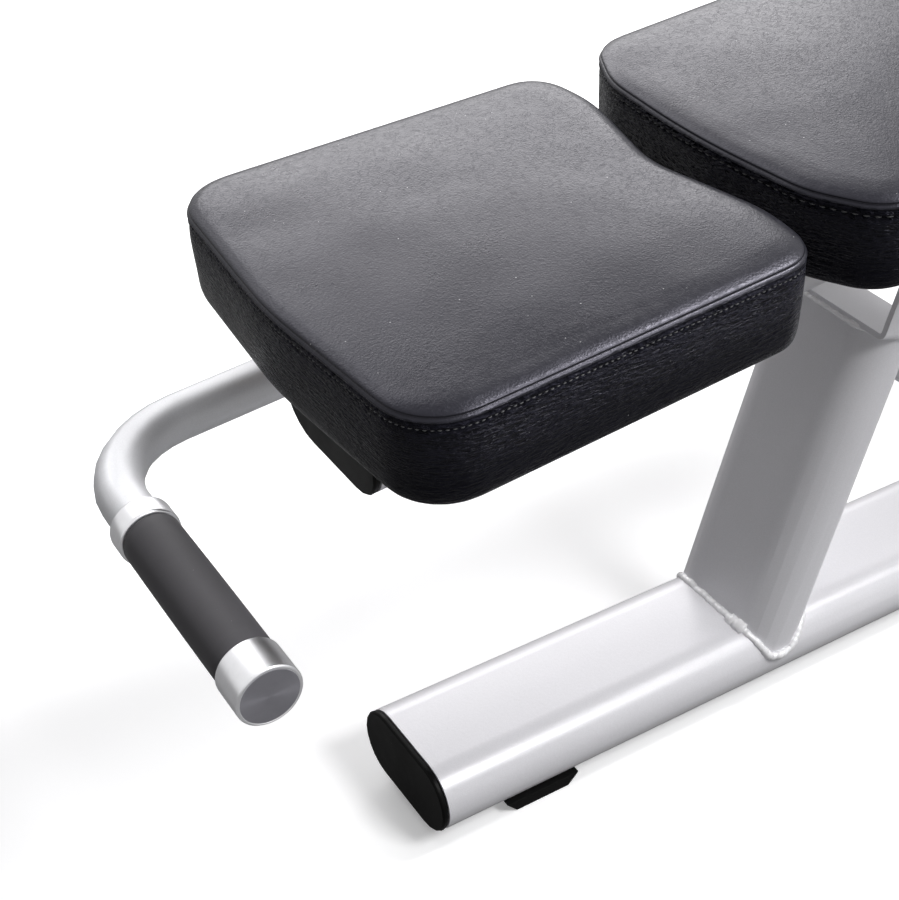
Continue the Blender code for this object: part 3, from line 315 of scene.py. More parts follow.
def new_group(name, inputs, outputs):
    """A shader group with named sockets; gives its sheet, its input sockets and its output node."""
    tree = bpy.data.node_groups.new(name, "ShaderNodeTree")
    for label, kind, default in inputs:
        socket = tree.interface.new_socket(label, in_out="INPUT", socket_type=kind)
        if default is not None:
            socket.default_value = default
    for label, kind in outputs:
        tree.interface.new_socket(label, in_out="OUTPUT", socket_type=kind)
    sheet = Sheet(tree)
    start = sheet.add("NodeGroupInput")
    end = sheet.add("NodeGroupOutput")
    return sheet, start.outputs, end.inputs


def use_group(sheet, name, **inputs):
    """A group node with its inputs fed; gives its outputs."""
    node = sheet.add("ShaderNodeGroup")
    node.node_tree = bpy.data.node_groups[name]
    for key, value in inputs.items():
        sheet.feed(node.inputs[key.replace("_", " ")], value)
    return node.outputs


def broken_lines(sheet, start, away, break_scale, break_detail, sharpness):
    """Lines as wide as the group's width where a distance is small, left out where a noise is high."""
    thin = sheet.math("SUBTRACT", 1.0, sheet.math("DIVIDE", away, start["Width"]), clamp=True)
    breaks = sheet.add("ShaderNodeTexNoise", in_Vector=start["Vector"],
                       in_Scale=sheet.math("MULTIPLY", start["Scale"], break_scale), in_Detail=break_detail)
    chance = sheet.math("SUBTRACT", start["Density"], breaks.outputs["Fac"])
    kept = sheet.math("MULTIPLY", chance, sharpness, clamp=True)
    return sheet.math("MULTIPLY", thin, kept)


def build_groups():
    """Effects that several finishes share."""
    number = "NodeSocketFloat"
    vector = "NodeSocketVector"

    # Fine hair creases: thin lines where a slow noise crosses its middle, broken up by a second noise
    sheet, start, end = new_group("hair creases", (
        ("Vector", vector, None), ("Scale", number, 80.0),
        ("Width", number, 0.02), ("Density", number, 0.5),
    ), (("Crease", number),))
    lines = sheet.add("ShaderNodeTexNoise", in_Vector=start["Vector"], in_Scale=start["Scale"],
                      in_Detail=2.5, in_Roughness=0.6, in_Distortion=0.9)
    away = sheet.math("ABSOLUTE", sheet.math("SUBTRACT", lines.outputs["Fac"], 0.5))
    sheet.feed(end["Crease"], broken_lines(sheet, start, away, 0.9, 1.0, 9.0))

    # Crackle: ridges between stretched cells whose borders wander, some of them left out
    sheet, start, end = new_group("crackle", (
        ("Vector", vector, None), ("Scale", number, 200.0),
        ("Width", number, 0.1), ("Density", number, 0.5),
    ), (("Crease", number),))
    wander = sheet.add("ShaderNodeTexNoise", in_Vector=start["Vector"], in_Scale=start["Scale"],
                       in_Detail=2.0)
    shift = sheet.add("ShaderNodeVectorMath", operation="SCALE", in_0=wander.outputs["Color"],
                      in_Scale=sheet.math("DIVIDE", 1.1, start["Scale"]))
    moved = sheet.add("ShaderNodeVectorMath", operation="ADD", in_0=start["Vector"], in_1=shift.outputs[0])
    cells = sheet.add("ShaderNodeTexVoronoi", feature="DISTANCE_TO_EDGE", in_Vector=moved.outputs[0],
                      in_Scale=start["Scale"], in_Randomness=1.0)
    sheet.feed(end["Crease"], broken_lines(sheet, start, cells.outputs["Distance"], 0.7, 2.0, 7.0))

    # Fine pebble of embossed vinyl
    sheet, start, end = new_group("vinyl pebble", (
        ("Vector", vector, None), ("Scale", number, 900.0),
    ), (("Height", number),))
    cells = sheet.add("ShaderNodeTexVoronoi", feature="SMOOTH_F1", in_Vector=start["Vector"],
                      in_Scale=start["Scale"], in_Smoothness=0.6, in_Randomness=0.95)
    sheet.feed(end["Height"], sheet.math("SUBTRACT", 1.0, cells.outputs["Distance"]))

    # Small bright specks of dust or lint
    sheet, start, end = new_group("dust specks", (
        ("Vector", vector, None), ("Scale", number, 160.0),
        ("Size", number, 0.06), ("Share", number, 0.1),
    ), (("Mask", number),))
    dots = sheet.add("ShaderNodeTexVoronoi", feature="F1", in_Vector=start["Vector"],
                     in_Scale=start["Scale"], in_Randomness=1.0)
    near = sheet.math("LESS_THAN", dots.outputs["Distance"], start["Size"])
    chance = sheet.add("ShaderNodeSeparateColor", in_Color=dots.outputs["Color"])
    chosen = sheet.math("LESS_THAN", chance.outputs["Red"], start["Share"])
    sheet.feed(end["Mask"], sheet.math("MULTIPLY", near, chosen))

    # Uneven patches from handling
    sheet, start, end = new_group("handling marks", (
        ("Vector", vector, None), ("Scale", number, 12.0),
        ("Low", number, 0.35), ("High", number, 0.7),
    ), (("Mask", number),))
    clouds = sheet.add("ShaderNodeTexNoise", in_Vector=start["Vector"], in_Scale=start["Scale"],
                       in_Detail=4.0, in_Roughness=0.62, in_Distortion=0.3)
    spread = sheet.math("SUBTRACT", start["High"], start["Low"])
    above = sheet.math("SUBTRACT", clouds.outputs["Fac"], start["Low"])
    sheet.feed(end["Mask"], sheet.math("DIVIDE", above, spread, clamp=True))

    # Orange peel and flakes of a sprayed metallic coat
    sheet, start, end = new_group("sprayed coat", (
        ("Vector", vector, None), ("Peel scale", number, 420.0), ("Flake scale", number, 2600.0),
    ), (("Height", number), ("Flake", number)))
    peel = sheet.add("ShaderNodeTexNoise", in_Vector=start["Vector"], in_Scale=start["Peel scale"],
                     in_Detail=2.0, in_Roughness=0.45)
    flakes = sheet.add("ShaderNodeTexVoronoi", feature="F1", in_Vector=start["Vector"],
                       in_Scale=start["Flake scale"])
    tone = sheet.add("ShaderNodeSeparateColor", in_Color=flakes.outputs["Color"])
    sheet.feed(end["Height"], peel.outputs["Fac"])
    sheet.feed(end["Flake"], tone.outputs["Green"])

    # Rings left by the turning tool round a centre, on the axis across the bench
    sheet, start, end = new_group("turning rings", (
        ("Vector", vector, None), ("Pitch", number, 0.0006),
    ), (("Height", number),))
    parts = sheet.add("ShaderNodeSeparateXYZ", in_Vector=start["Vector"])
    flat = sheet.add("ShaderNodeCombineXYZ", in_Y=parts.outputs["Y"], in_Z=parts.outputs["Z"])
    radius = sheet.add("ShaderNodeVectorMath", operation="LENGTH", in_0=flat.outputs[0])
    way = sheet.math("ADD", radius.outputs["Value"], parts.outputs["X"])
    turns = sheet.math("DIVIDE", way, start["Pitch"])
    wave = sheet.math("SINE", sheet.math("MULTIPLY", turns, 2.0 * math.pi))
    sheet.feed(end["Height"], sheet.math("MULTIPLY", wave, 0.5))


def new_material(name, **values):
    """A material with a Principled shader whose plain values are set; gives material, sheet and shader."""
    material = bpy.data.materials.new(name)
    material.use_nodes = True
    sheet = Sheet(material.node_tree)
    shader = material.node_tree.nodes["Principled BSDF"]
    for key, value in values.items():
        shader.inputs[key.replace("_", " ")].default_value = value
    return material, sheet, shader


def object_place(sheet):
    """Object coordinates."""
    return sheet.add("ShaderNodeTexCoord").outputs["Object"]


def hide_place(sheet):
    """Coordinates of the upholstery's own UV map, in metres."""
    return sheet.add("ShaderNodeUVMap", uv_map="hide").outputs["UV"]


def stretched(sheet, place, scale):
    """Coordinates scaled unevenly."""
    return sheet.add("ShaderNodeMapping", in_Vector=place, in_Scale=scale).outputs["Vector"]


def vinyl(name, dark, light, specular, roughness, fades=False):
    """Black upholstery vinyl: pebble, hair creases on top, crackle round the sides with a painted highlight
    along its lines, lint.
    """
    material, sheet, shader = new_material(name, Specular_IOR_Level=specular,
                                           Specular_Tint=rgb(0.86, 0.84, 1.0))
    place = hide_place(sheet)
    band = sheet.add("ShaderNodeAttribute", attribute_name="band",
                     attribute_type="GEOMETRY").outputs["Fac"]
    pebble = use_group(sheet, "vinyl pebble", Vector=place, Scale=780.0)["Height"]
    fine = use_group(sheet, "hair creases", Vector=place,
                     Scale=150.0, Width=0.040, Density=0.72)["Crease"]
    second = use_group(sheet, "hair creases", Vector=stretched(sheet, place, (1.0, 0.55, 1.0)),
                       Scale=260.0, Width=0.070, Density=0.72)["Crease"]
    long_place = stretched(sheet, place, (0.30, 1.3, 1.0))
    long_lines = use_group(sheet, "crackle", Vector=long_place,
                           Scale=230.0, Width=0.24, Density=0.76)["Crease"]
    short_lines = use_group(sheet, "crackle", Vector=long_place,
                            Scale=520.0, Width=0.28, Density=0.70)["Crease"]
    top_crease = sheet.math("ADD", fine, sheet.math("MULTIPLY", second, 0.5))
    side_crease = sheet.math("ADD", long_lines, sheet.math("MULTIPLY", short_lines, 0.6))
    if fades:
        height = sheet.add("ShaderNodeSeparateXYZ", in_Vector=place).outputs["Y"]
        side_crease = sheet.math("MULTIPLY", side_crease, sheet.ranged(height, 0.012, 0.052, 0.22, 1.0))
    on_top = sheet.math("MULTIPLY", top_crease, sheet.math("SUBTRACT", 1.0, band))
    on_side = sheet.math("MULTIPLY", side_crease, band)
    clouds = use_group(sheet, "handling marks", Vector=place, Scale=14.0, Low=0.3, High=0.7)["Mask"]
    lint = use_group(sheet, "dust specks", Vector=place, Scale=150.0, Size=0.055, Share=0.16)["Mask"]
    tone = sheet.mix(clouds, dark, light)
    # The side's crackle lines are lightened and tinted blue-grey: a painted highlight where the ridges
    # catch the light.
    tone = sheet.mix(sheet.math("MULTIPLY", on_side, 0.40, clamp=True), tone, rgb(0.022, 0.022, 0.034))
    tone = sheet.mix(sheet.math("MULTIPLY", lint, 0.55), tone, rgb(0.45, 0.45, 0.45))
    sheet.feed(shader.inputs["Base Color"], tone)
    uneven = sheet.ranged(clouds, 0.0, 1.0, roughness - 0.01, roughness + 0.02)
    creased = sheet.math("MULTIPLY", sheet.math("ADD", on_top, on_side), 0.12)
    sheet.feed(shader.inputs["Roughness"], sheet.math("ADD", uneven, creased))
    grain = sheet.bump(pebble, 0.00009)
    top_dent = sheet.math("MULTIPLY", on_top, -0.05)
    side_dent = sheet.math("MULTIPLY", on_side, 2.3)
    dents = sheet.bump(sheet.math("ADD", top_dent, side_dent), 0.0005, normal=grain)
    sheet.feed(shader.inputs["Normal"], dents)
    return material


def silver_coat(name, base, metallic, roughness, coarse=1.0):
    """Silver metallic coat with a light orange peel and flakes."""
    material, sheet, shader = new_material(name, Metallic=metallic, Specular_IOR_Level=0.5)
    place = object_place(sheet)
    coat = use_group(sheet, "sprayed coat", Vector=place, Peel_scale=380.0 * coarse, Flake_scale=2400.0)
    marks = use_group(sheet, "handling marks", Vector=place, Scale=9.0, Low=0.3, High=0.75)["Mask"]
    tone = sheet.mix(coat["Flake"], scaled(base, 0.93), base)
    dust = use_group(sheet, "dust specks", Vector=place, Scale=260.0, Size=0.08, Share=0.05)["Mask"]
    tone = sheet.mix(sheet.math("MULTIPLY", dust, 0.18), tone, rgb(0.35, 0.35, 0.36))
    sheet.feed(shader.inputs["Base Color"], tone)
    uneven = sheet.ranged(marks, 0.0, 1.0, roughness - 0.02, roughness + 0.05)
    sheet.feed(shader.inputs["Roughness"], uneven)
    sheet.feed(shader.inputs["Normal"], sheet.bump(coat["Height"], 0.00006 * coarse))
    return material


def turned_aluminium(name, base, fan, roughness):
    """Bright aluminium with turning rings round the grip's axis."""
    material, sheet, shader = new_material(name, Metallic=1.0, Anisotropic=fan)
    place = sheet.add("ShaderNodeMapping", in_Vector=object_place(sheet),
                      in_Location=(0.0, -GRIP_Y, -GRIP_Z)).outputs["Vector"]
    rings = use_group(sheet, "turning rings", Vector=place, Pitch=0.00055)["Height"]
    marks = use_group(sheet, "handling marks", Vector=place, Scale=60.0, Low=0.35, High=0.75)["Mask"]
    sheet.feed(shader.inputs["Base Color"], sheet.mix(marks, base, scaled(base, 0.9)))
    sheet.feed(shader.inputs["Roughness"], sheet.ranged(marks, 0.0, 1.0, roughness, roughness + 0.08))
    sheet.feed(shader.inputs["Normal"], sheet.bump(rings, 0.000008))
    tangent = sheet.add("ShaderNodeTangent", direction_type="RADIAL", axis="X")
    sheet.feed(shader.inputs["Tangent"], tangent.outputs["Tangent"])
    return material


def moulded(name, base, light, roughness, specular, grain_scale, grain_depth):
    """Moulded plastic or rubber: fine texture, uneven sheen and a little dust."""
    material, sheet, shader = new_material(name, Specular_IOR_Level=specular)
    place = object_place(sheet)
    texture = sheet.add("ShaderNodeTexNoise", in_Vector=place, in_Scale=grain_scale, in_Detail=3.0,
                        in_Roughness=0.6).outputs["Fac"]
    marks = use_group(sheet, "handling marks", Vector=place, Scale=26.0, Low=0.35, High=0.75)["Mask"]
    dust = use_group(sheet, "dust specks", Vector=place, Scale=240.0, Size=0.07, Share=0.07)["Mask"]
    tone = sheet.mix(marks, base, light)
    tone = sheet.mix(sheet.math("MULTIPLY", dust, 0.4), tone, rgb(0.30, 0.30, 0.30))
    sheet.feed(shader.inputs["Base Color"], tone)
    sheet.feed(shader.inputs["Roughness"], sheet.ranged(marks, 0.0, 1.0, roughness, roughness + 0.1))
    sheet.feed(shader.inputs["Normal"], sheet.bump(texture, grain_depth))
    return material


def plated(name, base, roughness):
    """Plated steel with faint drawing lines and stains."""
    material, sheet, shader = new_material(name, Metallic=1.0)
    place = object_place(sheet)
    drawn = sheet.add("ShaderNodeTexNoise", in_Vector=stretched(sheet, place, (1.0, 9.0, 9.0)),
                      in_Scale=120.0, in_Detail=3.0).outputs["Fac"]
    marks = use_group(sheet, "handling marks", Vector=place, Scale=70.0, Low=0.35, High=0.7)["Mask"]
    sheet.feed(shader.inputs["Base Color"], sheet.mix(marks, base, scaled(base, 0.82)))
    sheet.feed(shader.inputs["Roughness"], sheet.ranged(marks, 0.0, 1.0, roughness, roughness + 0.14))
    sheet.feed(shader.inputs["Normal"], sheet.bump(drawn, 0.00002))
    return material


def plywood(name):
    """Plywood: faces with long grain, plies on the edges."""
    ply_pitch = 0.0030
    material, sheet, shader = new_material(name, Roughness=0.62, Specular_IOR_Level=0.35)
    flat = sheet.add("ShaderNodeMapping", in_Vector=object_place(sheet),
                     in_Rotation=(-SLOPE, 0.0, 0.0)).outputs["Vector"]
    grain = sheet.add("ShaderNodeTexNoise", in_Vector=stretched(sheet, flat, (60.0, 3.5, 60.0)),
                      in_Scale=4.0, in_Detail=6.0, in_Distortion=0.5).outputs["Fac"]
    tone = sheet.mix(grain, rgb(0.40, 0.25, 0.13), rgb(0.66, 0.47, 0.28))
    height = sheet.add("ShaderNodeSeparateXYZ", in_Vector=flat).outputs["Z"]
    plies = sheet.math("SINE", sheet.math("MULTIPLY", height, 2.0 * math.pi / ply_pitch))
    glue = sheet.math("MULTIPLY", sheet.math("SUBTRACT", plies, 0.75), 4.0, clamp=True)
    tone = sheet.mix(sheet.math("MULTIPLY", glue, 0.6), tone, rgb(0.16, 0.09, 0.05))
    sheet.feed(shader.inputs["Base Color"], tone)
    sheet.feed(shader.inputs["Normal"], sheet.bump(grain, 0.00012))
    return material


def build_materials():
    """All finishes of the bench by name."""
    return {
        "pad top": vinyl("black pad vinyl on top", rgb(0.008, 0.008, 0.011), rgb(0.013, 0.013, 0.017),
                         specular=0.28, roughness=0.28),
        # The side's vinyl is the top's vinyl with a darker base colour: painted shade on the side band and
        # the turned-under edge.
        "pad side": vinyl("black pad vinyl round the side", rgb(0.0015, 0.0015, 0.003),
                          rgb(0.0025, 0.0025, 0.005), specular=0.075, roughness=0.22, fades=True),
        "sleeve": vinyl("black vinyl of roller sleeves", rgb(0.006, 0.006, 0.008),
                        rgb(0.010, 0.010, 0.013), specular=0.26, roughness=0.34),
        # The thread is near black; the grey of its colour is painted highlight where the stitches catch the
        # light.
        "thread": moulded("grey bonded thread", rgb(0.15, 0.15, 0.155), rgb(0.22, 0.22, 0.225),
                          roughness=0.5, specular=0.5, grain_scale=3000.0, grain_depth=0.00005),
        "silver": silver_coat("silver powder coat", rgb(0.73, 0.725, 0.755),
                              metallic=0.08, roughness=0.30),
        # The weld beads carry the frame's silver coat with a lighter base colour: painted light where the
        # beads catch the light.
        "weld": silver_coat("silver coat on weld beads", rgb(0.90, 0.895, 0.91),
                            metallic=0.08, roughness=0.26, coarse=2.0),
        # The handle's satin sheen is its own finish, but its base colour is lighter than the frame's silver
        # as painted light, making up for the shade the pad casts on it.
        "handle": silver_coat("satin silver handle coat", rgb(0.84, 0.845, 0.87),
                              metallic=0.26, roughness=0.50, coarse=0.8),
        "turned": turned_aluminium("turned aluminium", rgb(0.80, 0.80, 0.82), fan=0.0, roughness=0.33),
        # The end face is the same turned aluminium with a much darker base colour: painted shade.
        "turned face": turned_aluminium("turned aluminium end face", rgb(0.34, 0.335, 0.37),
                                        fan=0.85, roughness=0.28),
        "grip": moulded("grip rubber", rgb(0.080, 0.077, 0.083), rgb(0.094, 0.091, 0.098),
                        roughness=0.50, specular=0.14, grain_scale=900.0, grain_depth=0.00005),
        "cap": moulded("black cap plastic", rgb(0.002, 0.002, 0.002), rgb(0.004, 0.004, 0.004),
                       roughness=0.36, specular=0.06, grain_scale=1500.0, grain_depth=0.00002),
        "rubber": moulded("black foot rubber", rgb(0.004, 0.004, 0.004), rgb(0.008, 0.008, 0.008),
                          roughness=0.6, specular=0.08, grain_scale=700.0, grain_depth=0.00008),
        "steel": plated("plated steel", rgb(0.56, 0.56, 0.57), roughness=0.26),
        "nylon": moulded("white nylon", rgb(0.60, 0.59, 0.55), rgb(0.52, 0.51, 0.47),
                         roughness=0.42, specular=0.45, grain_scale=900.0, grain_depth=0.00003),
        "plywood": plywood("birch plywood"),
    }


# Hard pieces of the frame, taken over from their solids with fine edges
def dressed(node, material, body, edge):
    """A copy of a solid with merged faces, small rounded edges and even shading, in the solid's place."""
    edge_angle = 30.0
    source = frame["nodes"][node]
    piece = source.copy()
    piece.data = source.data.copy()
    piece.name = node + "_finished"
    piece.data.name = piece.name
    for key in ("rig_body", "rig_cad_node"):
        if key in piece:
            del piece[key]
    piece.parent = None
    piece.matrix_world = Matrix.Identity(4)
    bpy.context.scene.collection.objects.link(piece)
    piece.hide_render = False
    only(piece)
    if piece.data.has_custom_normals:
        bpy.ops.mesh.customdata_custom_splitnormals_clear()
    open_mesh(piece)
    bpy.ops.mesh.remove_doubles(threshold=0.000002)
    bpy.ops.mesh.dissolve_limited(angle_limit=math.radians(0.6))
    close_mesh()
    if edge > 0.0:
        bevel = piece.modifiers.new("edge", "BEVEL")
        bevel.width = edge
        bevel.segments = 2
        bevel.limit_method = "ANGLE"
        bevel.angle_limit = math.radians(edge_angle)
        bevel.use_clamp_overlap = True
        apply_modifiers(piece)
    smooth_by_angle(piece, edge_angle)
    weighted = piece.modifiers.new("even shading", "WEIGHTED_NORMAL")
    weighted.keep_sharp = True
    apply_modifiers(piece)
    finish_piece(piece, material, body)
    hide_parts(node)


def dress_frame(finishes):
    """Finish every hard piece of the bench: its node, finish, body, slot and the width of its edges."""
    base = "base"
    board = "tilting_frame"
    coats = (
        ("base_beam", "silver", base, "silver_paint", 0.0006),
        ("base_front_cap", "cap", base, "black_plastic", 0.0009),
        ("front_foot", "rubber", base, "black_rubber", 0.0010),
        ("rear_cross_tube", "silver", base, "silver_paint", 0.0006),
        ("rear_cap_left", "cap", base, "black_plastic", 0.0009),
        ("rear_cap_right", "cap", base, "black_plastic", 0.0009),
        ("rear_foot_left", "rubber", base, "black_rubber", 0.0010),
        ("rear_foot_right", "rubber", base, "black_rubber", 0.0010),
        ("wheel_fork_left", "silver", base, "silver_paint", 0.0006),
        ("wheel_fork_right", "silver", base, "silver_paint", 0.0006),
        ("wheel_axle_left", "steel", base, "plated_steel", 0.0005),
        ("wheel_axle_right", "steel", base, "plated_steel", 0.0005),
        ("wheel_left", "rubber", "left_wheel", "black_rubber", 0.0010),
        ("wheel_right", "rubber", "right_wheel", "black_rubber", 0.0010),
        ("post", "silver", base, "silver_paint", 0.0),
        ("post_clevis", "silver", base, "silver_paint", 0.0005),
        ("clamp_bracket", "silver", base, "silver_paint", 0.0005),
        ("clamp_stud", "steel", base, "plated_steel", 0.0004),
        ("clamp_washer", "steel", base, "plated_steel", 0.0003),
        ("clamp_knob", "cap", "knob", "black_plastic", 0.0012),
        ("pivot_pin", "steel", base, "plated_steel", 0.0006),
        ("pivot_nut", "steel", base, "plated_steel", 0.0006),
        ("pivot_bush_left", "nylon", board, "nylon", 0.0005),
        ("pivot_bush_right", "nylon", board, "nylon", 0.0005),
        ("spine", "silver", board, "silver_paint", 0.0005),
        ("spine_end_plate", "silver", board, "silver_paint", 0.0005),
        ("spine_front_cap", "cap", board, "black_plastic", 0.0009),
        ("tilt_sector", "silver", board, "silver_paint", 0.0006),
        ("leg_column", "silver", board, "silver_paint", 0.0006),
        ("column_cap_top", "cap", board, "black_plastic", 0.0009),
        ("column_cap_bottom", "cap", board, "black_plastic", 0.0009),
        ("knee_axle", "steel", board, "plated_steel", 0.0006),
        ("ankle_axle", "steel", board, "plated_steel", 0.0006),
        ("knee_axle_cap", "cap", board, "black_plastic", 0.0006),
        ("ankle_axle_cap", "cap", board, "black_plastic", 0.0006),
        ("handle_tube", "handle", board, "silver_paint", 0.0004),
        ("front_board", "plywood", board, "plywood", 0.0004),
        ("rear_board", "plywood", board, "plywood", 0.0004),
    )
    for node, finish, body, slot, edge in coats:
        dressed(node, finishes[finish], body, edge)
    for pad in ("front", "rear"):
        for row in ("1", "2"):
            dressed(f"{pad}_pad_bar_{row}", finishes["silver"], board, 0.0006)
            for side in ("left", "right"):
                dressed(f"{pad}_pad_bolt_{row}_{side}", finishes["steel"], board, 0.0004)


# Turned pieces of the side handle
def turned(name, profile, centre, sides=72, bored=False):
    """A piece turned round an axis across the bench: a disc or ring drawn out and sized step by step."""
    deselect()
    first, first_radius = profile[0]
    fill = "NOTHING" if bored else "NGON"
    bpy.ops.mesh.primitive_circle_add(vertices=sides, radius=first_radius, fill_type=fill)
    piece = bpy.context.object
    piece.name = name
    piece.data.name = name
    open_mesh(piece)
    steps = list(zip(profile, profile[1:]))
    if bored:
        steps.append((profile[-1], profile[0]))
    for (x0, r0), (x1, r1) in steps:
        bpy.ops.mesh.extrude_region_move(TRANSFORM_OT_translate={"value": (0.0, 0.0, x1 - x0)})
        bpy.ops.transform.resize(value=(r1 / r0, r1 / r0, 1.0), center_override=(0.0, 0.0, x1 - first))
    close_mesh()
    piece.rotation_euler = (0.0, math.radians(90.0), 0.0)
    piece.location = (first, centre[0], centre[1])
    settle(piece)
    face_outwards(piece)
    smooth_by_angle(piece, 28.0)
    return piece


def handle_fittings(finishes):
    """Collar, rubber grip and end cap of the side handle."""
    axis = (GRIP_Y, GRIP_Z)
    bore = 0.0160
    grip_start = -0.0254
    grip_length = 0.1261
    grip_radius = 0.0187
    grip_swelling = 0.0002
    grip_steps = 14
    end_face_from = 0.1284
    end_face_radius = 0.0179
    collar = turned("handle_collar", (
        (-0.0440, bore), (-0.0440, 0.0187), (-0.0436, 0.0195), (-0.0428, 0.0200), (-0.0418, 0.0202),
        (-0.0290, 0.0202), (-0.0280, 0.0200), (-0.0273, 0.0195), (-0.0270, 0.0189), (-0.0270, bore),
    ), axis, bored=True)
    finish_piece(collar, finishes["turned"], "tilting_frame")
    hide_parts("grip_collar")
    grip_profile = [(-0.0266, bore), (-0.0266, 0.0176), (-0.0262, 0.0183), (grip_start, grip_radius)]
    for step in range(1, grip_steps):
        share = step / grip_steps
        grip_profile.append((grip_start + grip_length * share,
                             grip_radius + grip_swelling * math.sin(math.pi * share)))
    grip_profile += [(0.1002, grip_radius), (0.1010, 0.0183), (0.1014, 0.0176), (0.1014, bore)]
    grip = turned("handle_grip", grip_profile, axis, bored=True)
    finish_piece(grip, finishes["grip"], "tilting_frame")
    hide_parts("grip_rubber")
    cap = turned("handle_cap", (
        (0.1018, 0.0188), (0.1021, 0.0196), (0.1028, 0.0201), (0.1036, 0.0202), (0.1272, 0.0202),
        (0.1279, 0.02005), (0.1285, 0.0195), (0.1288, 0.0189), (0.1288, 0.0185), (0.1286, 0.0182),
        (0.1286, 0.0179), (0.12875, 0.0177), (0.12875, 0.0120), (0.12875, 0.0040), (0.12875, 0.0007),
    ), axis, 96)
    finish_piece(cap, finishes["turned"], "tilting_frame")
    cap.data.materials.append(finishes["turned face"])
    # The end face gets the darker copy of the aluminium: painted shade.
    for polygon in cap.data.polygons:
        middle = polygon.center
        reach = math.hypot(middle.y - GRIP_Y, middle.z - GRIP_Z)
        if middle.x > end_face_from and reach < end_face_radius:
            polygon.material_index = 1
    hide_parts("handle_end_cap")


# The sloping board's own directions
def to_board(points):
    """Points of the bench as across, along and above on the sloping board, from the pivot."""
    y = points[:, 1] - PIVOT.y
    z = points[:, 2] - PIVOT.z
    along = y * math.cos(SLOPE) + z * math.sin(SLOPE)
    above = z * math.cos(SLOPE) - y * math.sin(SLOPE)
    return np.column_stack((points[:, 0], along, above))


def from_board(points):
    """Board points back in the bench's frame."""
    y = points[:, 1] * math.cos(SLOPE) - points[:, 2] * math.sin(SLOPE) + PIVOT.y
    z = points[:, 1] * math.sin(SLOPE) + points[:, 2] * math.cos(SLOPE) + PIVOT.z
    return np.column_stack((points[:, 0], y, z))


def resampled(loop, spacing):
    """A closed loop of flat points, evenly spaced."""
    closed = np.vstack((loop, loop[:1]))
    steps = np.hypot(*np.diff(closed, axis=0).T)
    run = np.concatenate(([0.0], np.cumsum(steps)))
    count = int(round(run[-1] / spacing))
    at = np.arange(count) * run[-1] / count
    return np.column_stack((np.interp(at, run, closed[:, 0]), np.interp(at, run, closed[:, 1])))


def rounded_off(loop, reach):
    """A closed loop softened over a few neighbours."""
    shifts = np.arange(-3 * reach, 3 * reach + 1)
    kernel = np.exp(-0.5 * (shifts / reach) ** 2)
    kernel /= kernel.sum()
    soft = np.zeros_like(loop)
    for shift, weight in zip(shifts, kernel):
        soft += weight * np.roll(loop, shift, axis=0)
    return soft


def outward(loop):
    """Outward directions of a closed loop that runs counter-clockwise."""
    tangent = np.roll(loop, -1, axis=0) - np.roll(loop, 1, axis=0)
    tangent /= np.linalg.norm(tangent, axis=1)[:, None]
    return np.column_stack((tangent[:, 1], -tangent[:, 0]))


def pad_outline(node, spacing):
    """A cushion's outline at its seam, counter-clockwise on the board, and the height of its underside."""
    notch_depth = 0.080
    notch_half_width = 0.125
    softening = 0.003
    points = to_board(mesh_points(frame["nodes"][node]))
    bottom = points[:, 2].min()
    seam = points[np.abs(points[:, 2] - bottom - OUTLINE_HEIGHT) < 0.0003][:, :2]
    seam = np.unique(np.round(seam, 5), axis=0)
    middle = seam.mean(axis=0)
    turn = np.arctan2(seam[:, 1] - middle[1], seam[:, 0] - middle[0])
    loop = resampled(seam[np.argsort(turn)], spacing)
    if node == "front_cushion":
        end = ramp(loop[:, 1], middle[1], notch_depth) ** 2
        inner = 0.5 + 0.5 * np.cos(math.pi * ramp(np.abs(loop[:, 0]), 0.0, notch_half_width))
        loop[:, 1] += NOTCH_FILL * end * inner ** 0.5
    return rounded_off(loop, max(1, int(round(softening / spacing)))), bottom


def spline_section(section, step):
    """A section of inset and height in mm as closely spaced points in metres, on a smooth curve."""
    corners = np.array(section) / 1000.0
    full = np.vstack((2 * corners[0] - corners[1], corners, 2 * corners[-1] - corners[-2]))
    out = []
    for i in range(1, len(full) - 2):
        p0, p1, p2, p3 = full[i - 1:i + 3]
        parts = max(1, int(math.ceil(np.linalg.norm(p2 - p1) / step)))
        for k in range(parts):
            t = k / parts
            out.append(0.5 * (2 * p1 + (p2 - p0) * t + (2 * p0 - 5 * p1 + 4 * p2 - p3) * t * t
                              + (3 * p1 - 3 * p2 + p3 - p0) * t ** 3))
    out.append(full[-2])
    return np.array(out)


def ring_points(loop, out, inset, height, bottom):
    """One ring of a cushion: the outline drawn in by an inset at a height above the underside."""
    flat = loop - out * inset
    shift = PAD_RAKE * (min(1.0, height / PAD_SIDE) - 1.0)
    return np.column_stack((flat[:, 0], flat[:, 1] + shift, np.full(len(flat), bottom + height)))


def hung(points, heights, insets, loop, node):
    """Points of a cushion let down over its board, less over the spine and not at the board's edge."""
    spine_reach = 0.080
    spine_ease = -0.020
    low_from = 0.030
    least_over_spine = -0.003
    underside = 0.004
    board_ease = -0.0044
    whole, along, across = DROOP[node]
    middle = (loop[:, 1].min() + loop[:, 1].max()) / 2.0
    drop = whole + along * (points[:, 1] - middle) + across * points[:, 0]
    over_spine = ramp(np.abs(points[:, 0]), spine_reach, spine_ease) * ramp(heights, low_from, spine_ease)
    drop = np.where(drop < least_over_spine, drop + (least_over_spine - drop) * over_spine, drop)
    share = np.where(heights < underside, ramp(insets, BOARD_EDGE, board_ease), 1.0)
    moved = points.copy()
    moved[:, 2] += drop * share
    return moved


